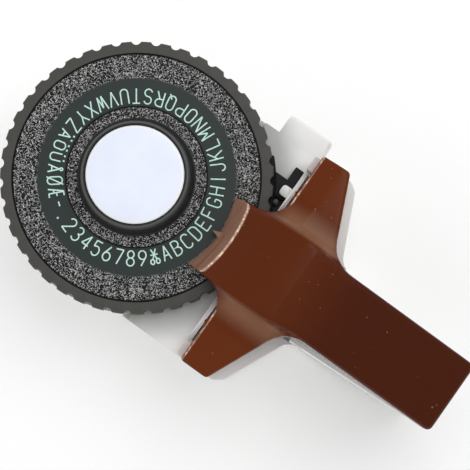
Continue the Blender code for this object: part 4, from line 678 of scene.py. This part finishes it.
def post(name, place, radius, depth, axis="z", sides=48):
    """A round post or drill, from its middle, along an axis."""
    turn = {"x": (0, math.pi / 2, 0), "y": (math.pi / 2, 0, 0), "z": (0, 0, 0)}[axis]
    bpy.ops.object.select_all(action="DESELECT")
    bpy.ops.mesh.primitive_cylinder_add(
        vertices=sides, radius=radius / 1000, depth=depth / 1000,
        location=spot(*place), rotation=turn
    )
    piece = bpy.context.object
    piece.name = name
    bpy.ops.object.transform_apply(location=True, rotation=True, scale=True)
    return piece


def put_together(piece, *others):
    """Puts further shapes into a piece, where the skin that it gets next makes them one."""
    bpy.ops.object.select_all(action="DESELECT")
    for part in (piece, *others):
        part.select_set(True)
    bpy.context.view_layer.objects.active = piece
    bpy.ops.object.join()


SKIN_FACE = 0.00045


def one_skin(piece, passes):
    """Gives a piece one skin of small even faces, and smooths it this many times."""
    skin = piece.modifiers.new("skin", "REMESH")
    skin.mode = "VOXEL"
    skin.voxel_size = SKIN_FACE
    soften = piece.modifiers.new("soften", "SMOOTH")
    soften.factor = 0.5
    soften.iterations = passes
    alone(piece)
    for modifier in ("skin", "soften"):
        bpy.ops.object.modifier_apply(modifier=modifier)


roof = [(117, 45.9), (56, 61.0), (44, 56.5), (26, 46.2)]
sole = [(58, 36.6), (117, 34.0)]


def side_top(middle, first, second):
    """Whether an edge lies between the roof and a side."""
    return max(first.z, second.z) > 0.7 and abs(first.z - second.z) > 0.5 and middle.z > 45


lever = trimmed(
    "lever_moulding", (56.5, -12.2, 33), (117, 12.2, 61.2),
    lined(roof, "side") + lined(sole, "side"),
)
rounded_edges(
    lever, 1.8, 6, lambda m, a, b: m.x > 116 and abs(m.y) > 10 and abs(a.z) + abs(b.z) < 0.1
)
rounded_edges(lever, 1.6, 5, side_top)
hump = trimmed(
    "hump", (26, -13.6, 33), (67, 13.6, 61.2),
    lined(roof, "side") + lined(sole, "side") + both_sides(
        lined([(67, 12.1), (56, 13.6)], "above") + lined([(43.3, 13.6), (26, 12.4)], "above")
    ),
)
rounded_edges(hump, 3.1, 8, lambda m, a, b: abs(m.y) < 1 and m.z > 45 and 50 < m.x < 60)
rounded_edges(hump, 3.5, 6, lambda m, a, b: abs(m.y) < 1 and m.z > 45 and 42 < m.x < 46)
rounded_edges(hump, 1.2, 4, lambda m, a, b: side_top(m, a, b) and abs(m.y) > 11)
carve(lever, hump, "UNION")

# Under the nose the moulding stops just over the dial, and its front stands round the hub
pocket = trimmed(
    "pocket", (20, -20, 30), (60, 20, 44.3), lined([(45.3, 44.3), (58, 36.6)][::-1], "side")
)
carve(lever, pocket)

# The front is a leaning cone's side. For each millimetre up, its radius grows by
# FRONT_FLATTENS, and the middle of its front moves towards the grip by FRONT_LEANS.
FRONT_LOW_Z = 44.3
FRONT_LOW_RADIUS = 30.3
FRONT_FLATTENS = 5.83
FRONT_LEANS = 0.66
ends = [(z, FRONT_LOW_RADIUS + FRONT_FLATTENS * (z - FRONT_LOW_Z)) for z in (43.3, 58.0)]
bpy.ops.object.select_all(action="DESELECT")
bpy.ops.mesh.primitive_cone_add(
    vertices=480, radius1=ends[0][1] / 1000, radius2=ends[1][1] / 1000,
    depth=(ends[1][0] - ends[0][0]) / 1000, location=spot(0, 0, (ends[0][0] + ends[1][0]) / 2)
)
hub_round = bpy.context.object
bpy.ops.object.transform_apply(location=True, rotation=True, scale=True)
for end, _ in ends:
    bpy.ops.object.mode_set(mode="EDIT")
    bpy.ops.mesh.select_all(action="DESELECT")
    edit = bmesh.from_edit_mesh(hub_round.data)
    for corner in edit.verts:
        corner.select_set(abs(corner.co.z - end / 1000) < 0.0001)
    bmesh.update_edit_mesh(hub_round.data)
    bpy.ops.transform.translate(
        value=((FRONT_LEANS - FRONT_FLATTENS) * (end - FRONT_LOW_Z) / 1000, 0, 0)
    )
    bpy.ops.object.mode_set(mode="OBJECT")
carve(lever, hub_round)


def behind(place):
    """How far a place in millimetres is behind the nose's front."""
    rise = place.z - FRONT_LOW_Z
    across = place.x - (FRONT_LEANS - FRONT_FLATTENS) * rise
    return math.hypot(across, place.y) - FRONT_LOW_RADIUS - FRONT_FLATTENS * rise


rounded_edges(
    lever, 0.7, 4,
    lambda m, a, b: abs(behind(m)) < 0.2 and m.z > 45 and abs(m.y) < 12.2
    and max(a.z, b.z) > 0.8 and 0.3 < min(a.z, b.z) < 0.75,
)

wing_sole = lined([(51.5, 38.2), (72, 43.3)], "side")
wings = trimmed(
    "wings", (43.3, -37.5, 38.2), (72, 37.5, 54),
    lined([(72, 53.2), (50, 53.5), (43.3, 50.5)], "side") + wing_sole
    + both_sides(lined([(64.2, 12.5), (53.0, 37.5)], "above")),
)
rounded_edges(wings, 0.5, 4, lambda m, a, b: abs(m.y) > 36 and abs(a.z) + abs(b.z) < 0.1)
rounded_edges(wings, 2.5, 6, lambda m, a, b: 48 < m.x < 52 and m.z > 52 and min(a.z, b.z) > 0.5)


def wing_top(first, second):
    """Whether an edge lies between a wing's top and an upright side."""
    return max(first.z, second.z) > 0.7 and min(first.z, second.z) < 0.3


rounded_edges(wings, 1.1, 6, lambda m, a, b: wing_top(a, b) and m.x < 43.5)
rounded_edges(wings, 0.7, 4, lambda m, a, b: wing_top(a, b) and m.x > 43.6)
put_together(lever, wings)

# The hollow curves between the hump and the wings, and round the wings' roots
BELOW_ROOF = 1.3
FRONT_ROUND = (36.1, 20.32, 7.2)
BACK_ROUND = (70.8, 22.2, 10.0)
under_roof = lined([(x, up - BELOW_ROOF) for x, up in roof], "side")


def round_out(piece, curve_round, side=1):
    """Takes an upright round out of a fill: its place across and along, and its radius."""
    across, along, radius = curve_round
    carve(piece, post("round", (across, side * along, 48), radius, 34, sides=96))


for side in (-1, 1):
    for rise, reach in ((4.4, 3.2), (2.3, 8.0)):
        slopes = []
        for first, last in (((36.6, 47.5), (50, 53.5)), ((50, 53.5), (66, 53.3))):
            inner = spot(first[0], 13.2, first[1] + rise)
            outer = spot(first[0], 13.2 + reach, first[1] - 0.1)
            back = spot(last[0], 13.2, last[1] + rise)
            upward = (back - inner).cross(outer - inner)
            upward = upward if upward.z > 0 else -upward
            slopes.append(((first[0], 13.2, first[1] + rise), tuple(upward.normalized())))
        wedge = trimmed(
            "wedge", (36.7, 12.5, 46), (66, 24, 59),
            slopes + lined([(63.9, 12.5), (52.8, 37.5)], "above") + under_roof,
        )
        round_out(wedge, FRONT_ROUND)
        root_fill = trimmed(
            "root_fill", (60.5, 11, 38), (70.8, 18.4, 59),
            slopes[1:] + wing_sole + under_roof,
        )
        round_out(root_fill, BACK_ROUND)
        for fill in (wedge, root_fill):
            if side < 0:
                fill.data.transform(
                    Matrix.Translation(spot(0, 0, 0)) @ Matrix.Diagonal((1, -1, 1, 1))
                    @ Matrix.Translation(-spot(0, 0, 0))
                )
                fill.data.flip_normals()
            put_together(lever, fill)
    near, far = sorted((side * 12.3, side * 20.3))
    front_fill = trimmed(
        "front_fill", (36.6, near, 44.7), (43.6, far, 54), lined([(50, 53.4), (43.3, 50.4)], "side")
    )
    round_out(front_fill, FRONT_ROUND, side)
    put_together(lever, front_fill)

one_skin(lever, 0)

# The hollow underneath, which leaves walls 2 mm thick, and the posts that stand in it
inner_roof = [(115, 44.4), (56, 59.0), (44, 54.4), (26, 44.1)]
hollow = trimmed(
    "hollow", (28, -11.6, 28), (115, 11.6, 60),
    lined(inner_roof, "side") + both_sides(lined([(115, 10.2), (66, 10.2), (56, 11.6)], "above")),
)
bpy.ops.object.select_all(action="DESELECT")
bpy.ops.mesh.primitive_cone_add(
    vertices=120, radius1=0.0236, radius2=0.0523, depth=0.0343, location=spot(0, 0, 50.65)
)
inner_round = bpy.context.object
bpy.ops.object.transform_apply(location=True, rotation=True, scale=True)
carve(hollow, inner_round)
wing_hollow = trimmed(
    "wing_hollow", (45.3, -35.5, 28), (70, 35.5, 52),
    lined([(72, 51.3), (50, 51.5), (43.3, 48.5)], "side")
    + both_sides(lined([(62.1, 10.3), (51.6, 35.5)], "above")),
)
put_together(hollow, wing_hollow)
one_skin(hollow, 0)
carve(lever, hollow)
HINGE_X, HINGE_Z = 49.5, 40.5
for side in (-1, 1):
    put_together(lever, post("hub", (HINGE_X, side * 35.9, HINGE_Z), 3.2, 2.8, axis="y"))
for x in (54.5, 57.5):
    put_together(lever, post("boss", (x, 0, 55.6), 2.2, 6.6))
spring_seat = post("spring_seat", (66, 0, 53.7), 5.2, 7.4)
put_together(lever, spring_seat, post("spring_peg", (66, 0, 49.0), 2.6, 5.9))

# One skin over all of it, with the soft corners of a moulding
one_skin(lever, 6)
carve(lever, post("pin_hole", (HINGE_X, 0, HINGE_Z), 1.8, 80, axis="y"))
pointer = trimmed(
    "pointer", (28.6, -1.4, 44.6), (34, 1.4, 46.4),
    both_sides([((28.7, 0, 45), (-1.3, 3.6, 0))]),
)
put_together(lever, pointer)
alone(lever)
bpy.ops.object.shade_smooth_by_angle(angle=math.radians(50))

brown = Finish("brown_plastic", (0.060, 0.012, 0.004), 0.16)
brown.put("Specular IOR Level", 0.12)
brown.put("Coat Roughness", 0.10)
lever_x, lever_y, lever_z = brown.measured()
off_middle = lever_y.size()
rise = lever_z - FRONT_LOW_Z / 1000
along_nose = lever_x - (FRONT_LEANS - FRONT_FLATTENS) * rise
behind_front = along_nose.far(lever_y) - FRONT_FLATTENS * rise - FRONT_LOW_RADIUS / 1000
drawn_out = brown.node("CombineXYZ", None, (lever_y * 0.12, lever_z, 0.0))
streaks = brown.noise(1500, 2, place=drawn_out)
glints = brown.noise(1000, 1).over(0.45, 0.62) * brown.noise(260, 2).over(0.35, 0.60)
flow = brown.noise(35, 4)
dust = brown.noise(1700, 2)
specks = brown.noise(650, 1).over(0.76, 0.80)

# Masks for the painted light and shade on the brown: the top edges, a crease, the valleys and the
# nose's front
edge_height = lever_z.over(0.0490, 0.0495)
nose_front = (1 - behind_front.over(0.0003, 0.0007)) * lever_z.over(0.0440, 0.0445)
just_behind = behind_front.over(0.0001, 0.0003) * (1 - behind_front.over(0.0004, 0.0007))
nose_edge = just_behind * edge_height
front_of_wings = lever_x.over(0.0435, 0.0437) * (1 - lever_x.over(0.0439, 0.0442))
wing_edge = off_middle.over(0.0190, 0.0200) * front_of_wings * edge_height
crease_height = 1 - (lever_z - 0.0478).size().over(0.00008, 0.00022)
crease_shade_mask = nose_front * crease_height * (1 - lever_y.over(0.0, 0.001))
beside_hump = off_middle.over(0.0128, 0.0142) * (1 - off_middle.over(0.0150, 0.0225))
valley = beside_hump * lever_x.over(0.040, 0.046) * (1 - lever_x.over(0.060, 0.067))
plain = brown.blend(flow.over(0.25, 0.75), (0.089, 0.0143, 0.0010), (0.102, 0.0188, 0.0020))
# The grip is painted darker: painted shade, as it faces away from the light
grip_painted_shade = brown.blend(flow, (0.054, 0.0078, 0.0004), (0.062, 0.0094, 0.0008))
plain = brown.blend(lever_x.over(0.052, 0.080), plain, grip_painted_shade)
# The wings are painted lighter: painted light, as they face the light more
wing_painted_light = brown.blend(flow, (0.110, 0.0190, 0.0016), (0.126, 0.0245, 0.0028))
on_wings = off_middle.over(0.0180, 0.0250) * (1 - lever_x.over(0.055, 0.072))
plain = brown.blend(on_wings, plain, wing_painted_light)
# The valleys beside the hump are painted lighter: a painted sheen
valley_sheen = brown.blend(valley * (0.42 + 0.5 * flow), plain, (0.26, 0.13, 0.075))
# The nose's front is painted lighter and streaked: a painted reflection
nose_reflection = brown.blend(nose_front * (0.35 + 0.5 * streaks), valley_sheen, (0.31, 0.185, 0.13))
# Painted shade along a crease in the nose's front
crease_shaded = brown.blend(0.7 * crease_shade_mask, nose_reflection, (0.06, 0.025, 0.012))
# Painted highlights along the nose's top edge and the wings' front edges, broken into glints
edge_highlights = (nose_edge + 0.8 * wing_edge) * (0.22 + 0.78 * glints)
with_edge_highlights = brown.blend(edge_highlights, crease_shaded, (0.90, 0.62, 0.46))
brown.put("Base Color", brown.blend(specks * 0.35, with_edge_highlights, (0.35, 0.20, 0.12)))
brown.put("Roughness", 0.12 + 0.10 * flow + 0.06 * dust + 0.15 * nose_front)
brown.put("Coat Weight", nose_edge + wing_edge)
brown.relief(flow * 0.3 + dust * 0.06 + specks * 0.2, 0.00006)
lever.data.materials.clear()
lever.data.materials.append(brown.material)
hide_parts("lever_cover")
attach(lever, body_of["lever_cover"])


# The ears at the wings' front tips: two small stops of pale plastic, a little browner than
# the base. They are pressed into the brown moulding and move with it.

ear_grey = Finish("ear_plastic", (0.52, 0.45, 0.43), 0.45)
ear_cloud = ear_grey.noise(500, 3)
ear_grey.put("Base Color", ear_grey.blend(ear_cloud, (0.46, 0.39, 0.38), (0.60, 0.52, 0.50)))
ear_grey.relief(ear_grey.noise(1500, 3), 0.00001)
for side, end in ((-1, "low"), (1, "high")):
    near, far = sorted((side * 31.4, side * 36.4))
    ear = trimmed("wing_ear_" + end, (41.3, near, 40.1), (44.1, far, 46.9), [])
    rounded_edges(ear, 0.5, 3, lambda m, a, b: m.x < 43.9)
    alone(ear)
    bpy.ops.object.shade_smooth_by_angle(angle=math.radians(35))
    ear.data.materials.append(ear_grey.material)
    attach(ear, body_of["lever_cover"])
